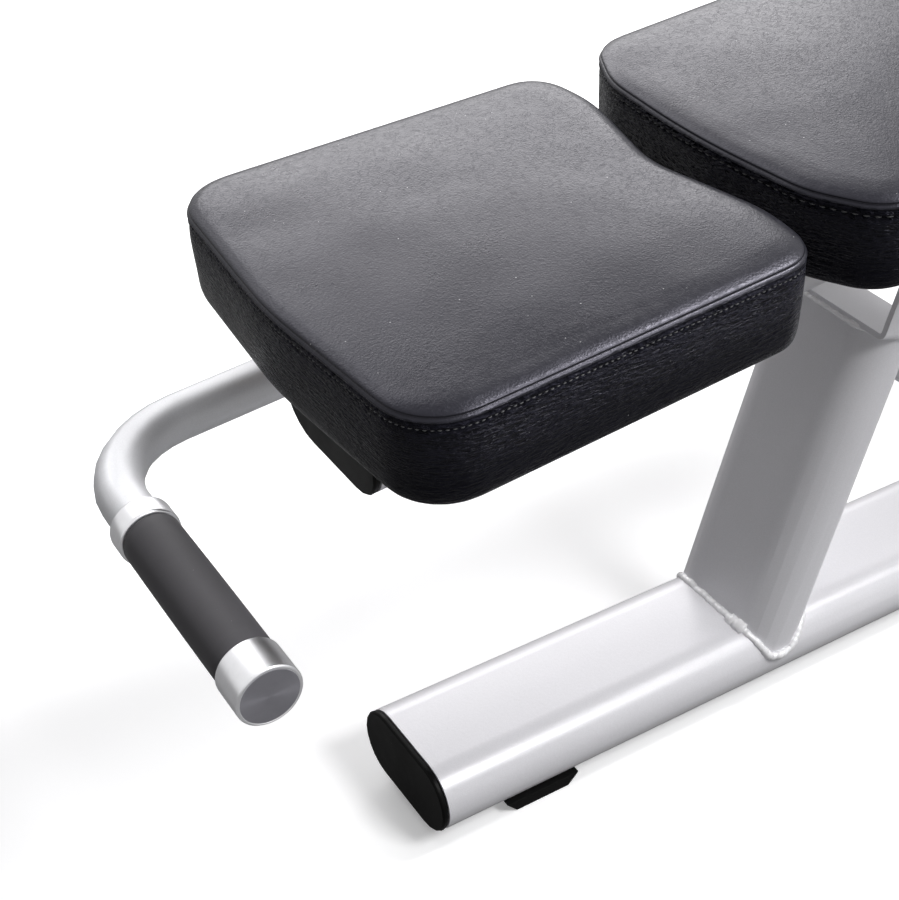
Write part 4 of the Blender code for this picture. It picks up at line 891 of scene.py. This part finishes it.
def inside_grid(loop, spacing, margin):
    """Grid points inside a closed loop, some way off its edge."""
    low = loop.min(axis=0)
    high = loop.max(axis=0)
    columns = np.arange(low[0] + spacing, high[0], spacing)
    rows = np.arange(low[1] + spacing, high[1], spacing)
    grid = np.array([(x, y) for y in rows for x in columns])
    ahead = np.roll(loop, -1, axis=0)
    inside = np.zeros(len(grid), dtype=bool)
    for a, b in zip(loop, ahead):
        crosses = (a[1] > grid[:, 1]) != (b[1] > grid[:, 1])
        at = a[0] + (grid[:, 1] - a[1]) * (b[0] - a[0]) / (b[1] - a[1] + 1e-12)
        inside ^= crosses & (grid[:, 0] < at)
    gap = np.full(len(grid), 1e9)
    for p in loop:
        gap = np.minimum(gap, np.hypot(grid[:, 0] - p[0], grid[:, 1] - p[1]))
    keep = inside & (gap > margin)
    return grid[keep], gap[keep]


def blown_dome(inside, spacing):
    """Heights from 0 to 1 of a skin held round its edge and blown up, at grid points inside it."""
    low = inside.min(axis=0)
    cells = np.round((inside - low) / spacing).astype(int) + 1
    shape = tuple(cells.max(axis=0) + 2)
    free = np.zeros(shape, dtype=bool)
    free[cells[:, 0], cells[:, 1]] = True
    column, row = np.indices(shape)
    height = np.zeros(shape)
    sweeps = 260
    push = 0.001
    hurry = 1.9
    for _ in range(sweeps):
        for half in (0, 1):
            around = np.zeros(shape)
            around[1:-1, 1:-1] = (height[2:, 1:-1] + height[:-2, 1:-1]
                                  + height[1:-1, 2:] + height[1:-1, :-2]) / 4.0
            pick = free & ((column + row) % 2 == half)
            height[pick] += hurry * (around[pick] + push - height[pick])
    return (height / height.max())[cells[:, 0], cells[:, 1]]


def top_sheet(loop, spacing):
    """Triangles that fill a closed flat loop, with the extra inside points and their way from the edge."""
    extra, gap = inside_grid(loop, spacing, spacing * 0.55)
    count = len(loop)
    points = [Vector(p) for p in loop] + [Vector(p) for p in extra]
    edges = [(i, (i + 1) % count) for i in range(count)]
    made = delaunay_2d_cdt(points, edges, [], 1, 1e-7)
    back = [source[0] if source else None for source in made[3]]
    faces = [tuple(back[v] for v in face) for face in made[2]]
    return extra, gap, faces


def swell(form, held):
    """Blow a closed form up with cloth, held along its seams; gives its points and their moves."""
    remesh = form.modifiers.new("even mesh", "REMESH")
    remesh.mode = "VOXEL"
    remesh.voxel_size = CLOTH_VOXEL
    apply_modifiers(form)
    before = mesh_points(form)
    group = form.vertex_groups.new(name="held")
    group.add([i for i, p in enumerate(before) if held(p)], 1.0, "REPLACE")
    cloth = form.modifiers.new("swell", "CLOTH")
    settings = cloth.settings
    settings.quality = 4
    settings.mass = 0.25
    settings.tension_stiffness = 14.0
    settings.compression_stiffness = 14.0
    settings.shear_stiffness = 6.0
    settings.bending_stiffness = 0.8
    settings.vertex_group_mass = "held"
    settings.use_pressure = True
    settings.uniform_pressure_force = CLOTH_PRESSURE
    settings.effector_weights.gravity = 0.0
    cloth.collision_settings.use_collision = False
    cloth.point_cache.frame_start = 1
    cloth.point_cache.frame_end = CLOTH_FRAMES
    scene = bpy.context.scene
    for step in range(1, CLOTH_FRAMES + 1):
        scene.frame_set(step)
    apply_modifiers(form)
    scene.frame_set(1)
    moves = mesh_points(form) - before
    largest = np.percentile(np.linalg.norm(moves, axis=1), 99.5)
    moves *= min(1.0, SWELL / largest)
    bpy.data.objects.remove(form)
    return before, moves


def carried(points, before, moves):
    """Moves at new points, taken from the nearest simulated ones."""
    neighbours = 14
    reach = 0.007
    tree = kdtree.KDTree(len(before))
    for i, p in enumerate(before):
        tree.insert(p, i)
    tree.balance()
    out = np.zeros_like(points)
    for i, p in enumerate(points):
        total = 0.0
        for _, index, distance in tree.find_n(p, neighbours):
            weight = math.exp(-(distance / reach) ** 2) + 1e-9
            out[i] += weight * moves[index]
            total += weight
        out[i] /= total
    return out


def pad_form(name, loop, out, bottom):
    """A plain closed form of a cushion, a little slack, for the cloth."""
    section = ((0.030, 0.0650), (0.012, 0.0640), (0.004, 0.0620), (0.0005, 0.0600), (0.0, 0.058),
               (0.0, 0.030), (0.0008, 0.010), (0.004, 0.002), (0.010, 0.0))
    rings = [ring_points(loop, out, inset, height, bottom) for inset, height in section]
    count = len(loop)
    faces = ring_faces(len(rings), count)
    faces.append(tuple(range(count)))
    faces.append(tuple((len(rings) - 1) * count + i for i in reversed(range(count))))
    return new_piece(name, np.vstack(rings), faces)


def skin_moves(node, points, bottom):
    """How the foam pushes the skin out at each point of a cushion."""
    cloth_seam = 0.0590
    cloth_seam_reach = 0.0035
    low = bottom + 0.006
    loop, _ = pad_outline(node, CLOTH_STEP)
    form = pad_form(node + "_form", loop, outward(loop), bottom)
    before, moves = swell(form, lambda p: p[2] < low or abs(p[2] - bottom - cloth_seam) < cloth_seam_reach)
    return carried(points, before, moves)


def unevenness(points, heights, insets, ways, out, side_share, first_inner, seed):
    """Slight unevenness of foam and skin, and short puckers next to the sewing."""
    count = len(out)
    wave_depth = 0.0005
    pucker_depth = 0.00008
    side_depth = 0.0007
    top_share = ramp(insets, 0.002, 0.012)
    for i, p in enumerate(points):
        if heights[i] > GROOVE_HEIGHT:
            wave = noise.noise(Vector(p) * 22.0 + Vector((seed, 0.0, 0.0))) * wave_depth * top_share[i]
            near = math.exp(-max(0.0, insets[i] - 0.001) / 0.006)
            near *= min(1.0, (heights[i] - GROOVE_HEIGHT) / 0.003)
            pucker = noise_at(ways[i] * 190.0, seed, insets[i] * 60.0) * pucker_depth * near
            p[2] += wave + (pucker if insets[i] < TOP_FLAT else 0.0)
        elif 0.004 < heights[i] < GROOVE_HEIGHT - 0.006 and i < first_inner:
            wave = noise_at(ways[i] * 24.0, heights[i] * 30.0, seed) * side_depth
            p[:2] += out[i % count] * wave * side_share[i]


def cushion_hide_map(piece, points, heights, insets, ways, section, count):
    """The vinyl's map of a cushion: across and along on top, round the outline and up on the side."""
    first_inner = len(section) * count
    groove_ring = int(np.argmin(np.abs(section[:, 1] - GROOVE_HEIGHT)))
    uvs = []
    for polygon in piece.data.polygons:
        members = list(polygon.vertices)
        is_side = all(v < first_inner for v in members) and min(members) // count >= groove_ring
        starts = any(v % count == 0 for v in members)
        ends = any(v % count == count - 1 for v in members)
        for v in members:
            if is_side:
                once_more = count * ROUND_STEP if starts and ends and v % count == 0 else 0.0
                uvs.append((ways[v] + once_more + 3.0, heights[v] - insets[v]))
            else:
                uvs.append((points[v][0], points[v][1]))
    add_hide_map(piece, uvs)


def cushion(node, finishes, stitch, seed):
    """One upholstered pad: rolled top, sewn groove and lip, side band, underside and its stitches."""
    loop, bottom = pad_outline(node, ROUND_STEP)
    out = outward(loop)
    count = len(loop)
    section = spline_section(PAD_SECTION, SECTION_STEP)
    rings = [ring_points(loop, out, inset, height, bottom) for inset, height in section]
    extra, gap, top_faces = top_sheet(rings[0][:, :2], TOP_STEP)
    dome = blown_dome(extra, TOP_STEP)
    crown = section[0][1] + CROWN * dome
    inner = np.column_stack((extra, bottom + crown))
    recess = ring_points(loop, out, BOARD_EDGE, RECESS_HEIGHT, bottom)
    points = np.vstack(rings + [inner, recess])
    first_inner = len(rings) * count
    first_recess = first_inner + len(extra)
    faces = ring_faces(len(rings), count)
    for face in top_faces:
        faces.append(tuple(v if v < count else first_inner + v - count for v in face))

    # The underside stops at the board's edge, runs up the recess a little way and is closed there
    last = first_inner - count
    for i in range(count):
        j = (i + 1) % count
        faces.append((last + i, first_recess + i, first_recess + j, last + j))
    faces.append(tuple(first_recess + i for i in reversed(range(count))))

    # Height, inset and way round of each point
    heights = np.concatenate([np.repeat(section[:, 1], count), crown, np.zeros(count)])
    insets = np.concatenate([np.repeat(section[:, 0], count), TOP_FLAT + gap,
                             np.full(count, RECESS_INSET)])
    around = np.arange(count) * ROUND_STEP
    ways = np.concatenate([np.tile(around, len(section)), np.zeros(len(extra)), around])

    # The skin lifts nowhere at the seam and under the pad
    on_top = heights > GROOVE_HEIGHT
    top_share = ramp(insets, 0.002, 0.016) ** 2
    side_share = ramp(heights, GROOVE_HEIGHT - 0.008, -0.012) * ramp(heights, 0.0, 0.012)
    lift = np.where(on_top, top_share, side_share * 0.35)
    points = points + skin_moves(node, points, bottom) * lift[:, None]
    unevenness(points, heights, insets, ways, out, side_share, first_inner, seed)
    points = hung(points, heights, insets, loop, node)

    piece = new_piece(node + "_upholstery", from_board(points), faces)
    cushion_hide_map(piece, points, heights, insets, ways, section, count)
    is_band = ramp(heights, LIP_HEIGHT + 0.0010, -0.002)
    is_band[first_inner:first_recess] = 0.0
    add_band(piece, is_band)
    face_outwards(piece)
    smooth(piece)
    finish_piece(piece, finishes["pad top"], "tilting_frame")
    # The side band gets the darker copy of the vinyl: painted shade.
    piece.data.materials.append(finishes["pad side"])
    band_values = np.empty(len(piece.data.vertices))
    piece.data.attributes["band"].data.foreach_get("value", band_values)
    for polygon in piece.data.polygons:
        if min(band_values[v] for v in polygon.vertices) > 0.5:
            polygon.material_index = 1
    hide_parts(node)
    sew(node, loop, out, bottom, stitch, finishes)


def stitch_shape(length, radius):
    """Points and faces of one stitch, a small capsule along X."""
    deselect()
    bpy.ops.mesh.primitive_uv_sphere_add(segments=6, ring_count=5, radius=1.0)
    ball = bpy.context.object
    open_mesh(ball)
    bpy.ops.transform.resize(value=(length / 2.0, radius, radius), center_override=(0.0, 0.0, 0.0))
    close_mesh()
    points, faces = taken(ball)
    blunt = 1.0 - np.abs(points[:, 0]) / (length / 2.0)
    points[:, 1:] *= (1.0 + 0.35 * blunt)[:, None]
    return points, faces


def staple_shape():
    """Points and faces of the crown of one staple, along X."""
    deselect()
    bpy.ops.mesh.primitive_cube_add(size=1.0)
    crown = bpy.context.object
    open_mesh(crown)
    bpy.ops.transform.resize(value=(0.0100, 0.0011, 0.0007), center_override=(0.0, 0.0, 0.0))
    bpy.ops.mesh.bevel(offset=0.0003, segments=1)
    close_mesh()
    return taken(crown)


def copies(shape, placings):
    """Points and faces of a small shape set down again and again: centre, along, across."""
    points, faces = shape
    up = np.array((0.0, 0.0, 1.0))
    rows = []
    all_faces = []
    for i, (centre, along, across) in enumerate(placings):
        rows.append(centre + points[:, :1] * along + points[:, 1:2] * across + points[:, 2:3] * up)
        all_faces.extend(tuple(i * len(points) + v for v in face) for face in faces)
    return np.vstack(rows), all_faces


def sew(node, loop, out, bottom, pitch, finishes):
    """A row of stitches below the lip of a cushion."""
    thread_radius = 0.00042
    stitch_share = 0.68
    line = ring_points(loop, out, -0.00010, STITCH_HEIGHT, bottom)
    height = line[0][2]
    fine = resampled(line[:, :2], pitch)
    draw = random.Random(5)
    placings = []
    for p, side in zip(fine, outward(fine)):
        lean = 0.06 + draw.uniform(-0.06, 0.06)
        centre = np.array((p[0], p[1], height + draw.uniform(-0.00008, 0.00008)))
        placings.append((centre, np.array((-side[1], side[0], lean)), np.array((side[0], side[1], 0.0))))
    points, faces = copies(stitch_shape(pitch * stitch_share, thread_radius), placings)
    points = hung(points, np.full(len(points), STITCH_HEIGHT), np.zeros(len(points)), loop, node)
    piece = new_piece(node + "_stitches", from_board(points), faces)
    face_outwards(piece)
    smooth(piece)
    finish_piece(piece, finishes["thread"], "tilting_frame")


def underside_flap(node, finishes):
    """The skin's turned-under edge, stapled to the board below."""
    section = ((0.0115, 0.0002), (0.0135, 0.0011), (0.020, 0.0012),
               (0.031, 0.0011), (0.0315, 0.0002), (0.020, 0.0002))
    loop, bottom = pad_outline(node, 0.004)
    out = outward(loop)
    rings = []
    for inset, drop in section:
        ring = ring_points(loop, out, inset, 0.0, bottom)
        ring[:, 2] -= drop
        rings.append(ring)
    for i in range(len(loop)):
        ripple = noise_at(i * 0.17, 3.1, 0.0)
        rings[3][i, :2] -= out[i] * ripple * 0.0020
        rings[4][i, :2] -= out[i] * ripple * 0.0020
        rings[2][i, 2] -= abs(ripple) * 0.0004
    faces = ring_faces(len(rings), len(loop), closed=True)
    piece = new_piece(node + "_turned_edge", from_board(np.vstack(rings)), faces)
    flat = to_board(mesh_points(piece))
    add_hide_map(piece, [flat[v][:2] for polygon in piece.data.polygons for v in polygon.vertices])
    add_band(piece, np.zeros(len(flat)))
    face_outwards(piece)
    smooth_by_angle(piece, 50.0)
    finish_piece(piece, finishes["pad side"], "tilting_frame")
    staples(node, loop, out, bottom, finishes)


def staples(node, loop, out, bottom, finishes):
    """Steel staples through the turned-under edge."""
    staple_inset = 0.024
    staple_pitch = 0.030
    staple_turn = 0.9
    line = resampled(loop - out * staple_inset, staple_pitch)
    draw = random.Random(9)
    placings = []
    for p, side in zip(line, outward(line)):
        turn = draw.uniform(-0.25, 0.25) + staple_turn
        along = np.array((-side[1] * math.cos(turn) + side[0] * math.sin(turn),
                          side[0] * math.cos(turn) + side[1] * math.sin(turn), 0.0))
        across = np.array((-along[1], along[0], 0.0))
        placings.append((np.array((p[0], p[1], bottom - 0.0016)), along, across))
    points, faces = copies(staple_shape(), placings)
    piece = new_piece(node + "_staples", from_board(points), faces)
    face_outwards(piece)
    finish_piece(piece, finishes["steel"], "tilting_frame")


# Rollers of the leg hold
def sleeve_section(hole, radius, half):
    """Radius and place along the axle of a sleeve's skin, from one bore's edge round to the other."""
    gather = hole + 0.005
    shoulder = radius - 0.017
    face = half - 0.0006
    face_steps = 9
    corner_steps = 8
    long_steps = 26
    end = [(hole, half - 0.004), (hole + 0.0015, half - 0.0012), (gather, face)]
    for step in range(1, face_steps + 1):
        share = step / face_steps
        end.append((gather + (shoulder - gather) * share, face - 0.0012 * share))
    for step in range(1, corner_steps + 1):
        angle = math.pi / 2.0 * step / corner_steps
        end.append((shoulder + 0.0165 * math.sin(angle), half - 0.018 + 0.0162 * math.cos(angle)))
    straight = end[-1][1]
    middle = [(radius - 0.0005, straight - 2.0 * straight * step / long_steps)
              for step in range(1, long_steps)]
    return np.array(end + middle + [(r, -x) for r, x in reversed(end)])


def roller(node, body, finishes, seed):
    """A foam roller in its sewn sleeve: rounded ends gathered towards the axle and one long seam."""
    sides = 160
    pleats = 26.0
    pleat_depth = 0.00055
    wave_depth = 0.0006
    seam_turn = math.radians(250.0)
    low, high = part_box(node)
    middle = (low + high) / 2.0
    half = (high.x - low.x) / 2.0
    radius = (high.z - low.z) / 2.0
    solid = mesh_points(frame["nodes"][node])
    hole = np.hypot(solid[:, 1] - middle.y, solid[:, 2] - middle.z).min() + 0.0006
    section = sleeve_section(hole, radius, half)
    points = []
    for r, x in section:
        swelling = 0.0004 * math.cos(math.pi * x / (2.0 * half)) if abs(x) < half else 0.0
        end = float(ramp(abs(x), half - 0.020, 0.012))
        inwards = float(ramp(r, radius, -0.02))
        for k in range(sides):
            angle = 2.0 * math.pi * k / sides
            y = math.cos(angle)
            z = math.sin(angle)
            twist = 1.4 * noise_at(y * 2.0, z * 2.0, seed)
            pleat = math.cos(pleats * angle + twist) * pleat_depth * end * (0.35 + inwards)
            wave = noise_at(x * 26.0, y * 1.6 + seed, z * 1.6) * wave_depth
            gap = abs((angle - seam_turn + math.pi) % (2.0 * math.pi) - math.pi) * r
            groove = 0.0011 * math.exp(-(gap / 0.0012) ** 2)
            seam = 0.0005 * math.exp(-((gap - 0.0035) / 0.002) ** 2) - groove
            new_r = r
            new_x = x
            if r > hole + 0.002:
                new_r = min(r + ((wave + seam) * 0.9 + swelling) * (1.0 - end) - 0.0002, radius + 0.0002)
                new_x = x - math.copysign(abs(pleat) + 0.0002, x) * end
            points.append((middle.x + new_x, middle.y + new_r * y, middle.z + new_r * z))
    piece = new_piece(node + "_sleeve", points, ring_faces(len(section), sides, closed=True))
    runs = np.concatenate(([0.0], np.cumsum(np.hypot(*np.diff(section, axis=0).T))))
    uvs = []
    for polygon in piece.data.polygons:
        members = list(polygon.vertices)
        wraps = any(v % sides == 0 for v in members) and any(v % sides == sides - 1 for v in members)
        for v in members:
            turn = v % sides + (sides if wraps and v % sides == 0 else 0)
            uvs.append((2.0 * math.pi * radius * turn / sides + seed, runs[v // sides]))
    add_hide_map(piece, uvs)
    add_band(piece, np.full(len(points), 0.45))
    face_outwards(piece)
    smooth(piece)
    finish_piece(piece, finishes["sleeve"], body)
    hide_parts(node)


# Weld beads
def followed(points, step):
    """Closely spaced points along a line, each with its way from the start, and the line's length."""
    fine = []
    run = 0.0
    for a, b in zip(points, points[1:]):
        length = (b - a).length
        parts = max(1, int(math.ceil(length / step)))
        fine.extend((a.lerp(b, k / parts), run + length * k / parts) for k in range(parts))
        run += length
    return fine, run


def bead(name, path, radius, body, finishes, closed=False, seed=1.0):
    """A weld bead along a path of points, with the ripples of the weld pool."""
    pitch = 0.0048
    wander = 0.22
    points = [Vector(p) for p in path]
    if closed:
        points.append(points[0])
    fine, run = followed(points, 0.0009)
    if not closed:
        fine.append((points[-1], run))
    curve = bpy.data.curves.new(name, "CURVE")
    curve.dimensions = "3D"
    curve.bevel_depth = 1.0
    curve.bevel_resolution = 3
    curve.use_fill_caps = True
    spline = curve.splines.new("POLY")
    spline.points.add(len(fine) - 1)
    spline.use_cyclic_u = closed
    for spot, (p, way) in zip(spline.points, fine):
        size = radius(way / run) if callable(radius) else radius
        ripple = 0.88 + 0.14 * abs(math.sin(math.pi * way / pitch))
        lump = 1.0 + 0.36 * noise_at(way * 95.0, seed, 0.0)
        drift = Vector([noise_at(way * 120.0, seed, offset) for offset in (7.0, 17.0, 27.0)])
        taper = 1.0 if closed else min(1.0, 0.55 + min(way, run - way) / 0.004)
        spot.co = (*(p + drift * size * wander), 1.0)
        spot.radius = size * ripple * lump * taper
    piece = bpy.data.objects.new(name, curve)
    bpy.context.scene.collection.objects.link(piece)
    only(piece)
    bpy.ops.object.convert(target="MESH")
    piece = bpy.context.object
    face_outwards(piece)
    smooth(piece)
    finish_piece(piece, finishes["weld"], body)


def obround_ring(half_width, half_height, steps):
    """Points round a flat-oval section, counter-clockwise from the right side."""
    flat = half_width - half_height
    ring = []
    for side, start in ((1.0, -0.5), (-1.0, 0.5)):
        for step in range(steps + 1):
            angle = math.pi * (step / steps + start)
            ring.append((side * flat + half_height * math.cos(angle), half_height * math.sin(angle)))
    return ring


def beam_height(x):
    """Height of the base beam's upper surface across its width."""
    over = max(0.0, abs(x) - HALF_TUBE)
    return BEAM_MIDDLE + math.sqrt(max(0.0, HALF_TUBE ** 2 - over ** 2))


def on_post(x, depth, up):
    """A place on the leaning post: across it, through its depth and up its length."""
    lean_y = math.sin(POST_LEAN)
    lean_z = math.cos(POST_LEAN)
    return Vector((x, POST_FOOT.y + depth * lean_z + up * lean_y, BEAM_TOP - depth * lean_y + up * lean_z))


def weld_frame(finishes):
    """Every weld of the frame that can be seen."""
    lean_y = math.sin(POST_LEAN)
    lean_z = math.cos(POST_LEAN)

    # The post's foot on the base beam
    foot = []
    for x, depth in obround_ring(0.0560, 0.0285, 20):
        up = (beam_height(min(abs(x), 0.0540)) - BEAM_TOP + depth * lean_y) / lean_z
        foot.append(on_post(x, depth, up))

    def foot_size(share):
        """Heavier along the flat sides, thin round the narrow ends."""
        place = foot[min(len(foot) - 1, int(share * len(foot)))]
        return 0.0054 if abs(place.x) < 0.030 else 0.0032

    bead("weld_post_foot", foot, foot_size, "base", finishes, closed=True, seed=3.0)

    # The clevis on the post
    top = [on_post(x, depth, POST_LENGTH + 0.0002) for x, depth in obround_ring(0.0553, 0.0278, 20)]
    bead("weld_post_clevis", top, 0.0020, "base", finishes, closed=True, seed=5.0)

    # The base beam into the cross tube
    joint = []
    for x, up in obround_ring(0.0555, 0.0280, 16):
        depth = math.sqrt(max(0.0, HALF_TUBE ** 2 - min(abs(up), HALF_TUBE) ** 2))
        joint.append(Vector((x, CROSS_Y - HALF_TUBE - depth, BEAM_MIDDLE + up)))
    bead("weld_cross_tube", joint, 0.0026, "base", finishes, closed=True, seed=7.0)

    # The end plate on the spine
    plate = 0.005
    low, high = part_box("spine_end_plate")
    plate_ends = to_board(np.array([[0.0, low.y, low.z], [0.0, high.y, high.z]]))
    spine_end = plate_ends[:, 1].max() - plate - 0.0002
    ring = np.array([(x, spine_end, up) for x, up in obround_ring(0.0553, 0.0278, 16)])
    bead("weld_spine_end", from_board(ring), 0.0018, "tilting_frame", finishes, closed=True, seed=11.0)

    # The pad bars on the spine
    half_length = 0.024
    for node in ("front_pad_bar_1", "front_pad_bar_2", "rear_pad_bar_1", "rear_pad_bar_2"):
        flat = to_board(mesh_points(frame["nodes"][node]))
        height = flat[:, 2].min() + 0.0006
        for tag, along in (("front", flat[:, 1].min()), ("rear", flat[:, 1].max())):
            line = from_board(np.array([(x, along, height) for x in (-half_length, 0.0, half_length)]))
            bead(f"weld_{node}_{tag}", line, 0.0020, "tilting_frame", finishes, seed=along * 40.0)


# Floor, lamps, background and camera
def white_floor():
    """A floor that the camera sees as white, with the shadow kept, and that lights the bench little."""
    deselect()
    bpy.ops.mesh.primitive_plane_add(size=60.0, location=(0.0, 0.0, 0.0))
    floor = bpy.context.object
    floor.name = "floor"
    settle(floor)
    material, sheet, shader = new_material("white floor", Roughness=0.9, Specular_IOR_Level=0.1,
                                           Emission_Color=rgb(1.0, 1.0, 1.0))
    ray = sheet.add("ShaderNodeLightPath").outputs
    reflected = sheet.math("MAXIMUM", ray["Is Glossy Ray"], ray["Is Transmission Ray"])
    tone = sheet.mix(ray["Is Camera Ray"], rgb(0.20, 0.20, 0.20), rgb(0.95, 0.95, 0.955))
    sheet.feed(shader.inputs["Base Color"], tone)
    distance = sheet.add("ShaderNodeVectorMath", operation="LENGTH",
                         in_0=object_place(sheet)).outputs["Value"]
    near_glow = sheet.ranged(distance, 1.6, 4.5, 0.275, 1.0)
    glow = sheet.math("ADD", sheet.math("MULTIPLY", ray["Is Camera Ray"], near_glow),
                      sheet.math("MULTIPLY", reflected, 0.08))
    sheet.feed(shader.inputs["Emission Strength"], glow)
    floor.data.materials.append(material)


def white_world():
    """White for the camera and in reflections, and a fill from behind the bench for everything else."""
    world = bpy.data.worlds.new("studio")
    bpy.context.scene.world = world
    world.use_nodes = True
    sheet = Sheet(world.node_tree)
    sheet.tree.nodes.clear()
    ray = sheet.add("ShaderNodeLightPath").outputs
    seen = sheet.math("MAXIMUM", sheet.math("MAXIMUM", ray["Is Camera Ray"], ray["Is Glossy Ray"]),
                      ray["Is Transmission Ray"])
    way = sheet.add("ShaderNodeTexCoord").outputs["Generated"]
    parts = sheet.add("ShaderNodeSeparateXYZ", in_Vector=way).outputs
    behind = sheet.ranged(parts["Y"], -0.9, 0.7, 0.04, 0.50)
    fill = sheet.add("ShaderNodeBackground", in_Color=rgb(0.98, 0.98, 1.0), in_Strength=behind)
    white = sheet.add("ShaderNodeBackground", in_Color=rgb(1.0, 1.0, 1.0), in_Strength=1.0)
    both = sheet.add("ShaderNodeMixShader", in_0=seen, in_1=fill.outputs[0], in_2=white.outputs[0])
    end = sheet.add("ShaderNodeOutputWorld")
    sheet.feed(end.inputs["Surface"], both.outputs[0])


def lamp(name, place, target, size, power, colour=(1.0, 1.0, 1.0)):
    """A soft rectangular lamp pointed at a target."""
    light = bpy.data.lights.new(name, "AREA")
    light.shape = "RECTANGLE"
    light.size, light.size_y = size
    light.energy = power
    light.color = colour
    thing = bpy.data.objects.new(name, light)
    bpy.context.scene.collection.objects.link(thing)
    thing.location = place
    aim = Vector(target) - Vector(place)
    thing.rotation_euler = aim.to_track_quat("-Z", "Y").to_euler()
    thing.visible_camera = False


def photograph_camera():
    """The camera from which the photograph was taken."""
    camera = bpy.data.objects.new("camera", bpy.data.cameras.new("camera"))
    bpy.context.scene.collection.objects.link(camera)
    camera.location = (0.7115, -0.9656, 0.9223)
    camera.rotation_euler = Euler((math.radians(53.81), 0.0, math.radians(58.03)))
    camera.data.sensor_fit = "HORIZONTAL"
    camera.data.sensor_width = 36.0
    camera.data.lens = 65.83
    camera.data.clip_start = 0.02
    camera.data.clip_end = 200.0
    bpy.context.scene.camera = camera
    bpy.context.scene.view_settings.view_transform = "Standard"


def build_stage():
    """A white floor that keeps the shadow, a white background, soft lamps and the camera."""
    white_floor()
    white_world()
    lamp("key", (0.47, 1.02, 2.60), (0.0, -0.35, 0.40), (0.5, 1.1), 74.0)
    lamp("broad", (-2.5, 0.75, 1.75), (0.0, -0.4, 0.4), (2.2, 1.2), 38.0, (1.0, 0.985, 0.99))
    lamp("side", (1.75, 0.50, 2.55), (0.0, -0.35, 0.1), (1.0, 1.0), 56.0)
    lamp("left", (-1.6, -0.75, 2.00), (-0.1, -0.5, 0.3), (1.1, 1.1), 10.0)
    photograph_camera()


build_groups()
finishes = build_materials()
build_stage()
dress_frame(finishes)
handle_fittings(finishes)
cushion("front_cushion", finishes, FRONT_STITCH, 1.0)
cushion("rear_cushion", finishes, REAR_STITCH, 2.0)
underside_flap("front_cushion", finishes)
underside_flap("rear_cushion", finishes)
for joint, side in (("knee", "left"), ("knee", "right"), ("ankle", "left"), ("ankle", "right")):
    roller(f"{joint}_roller_{side}", f"{side}_{joint}_roller", finishes, 2.0 + len(joint) + len(side))
weld_frame(finishes)

bpy.context.view_layer.update()
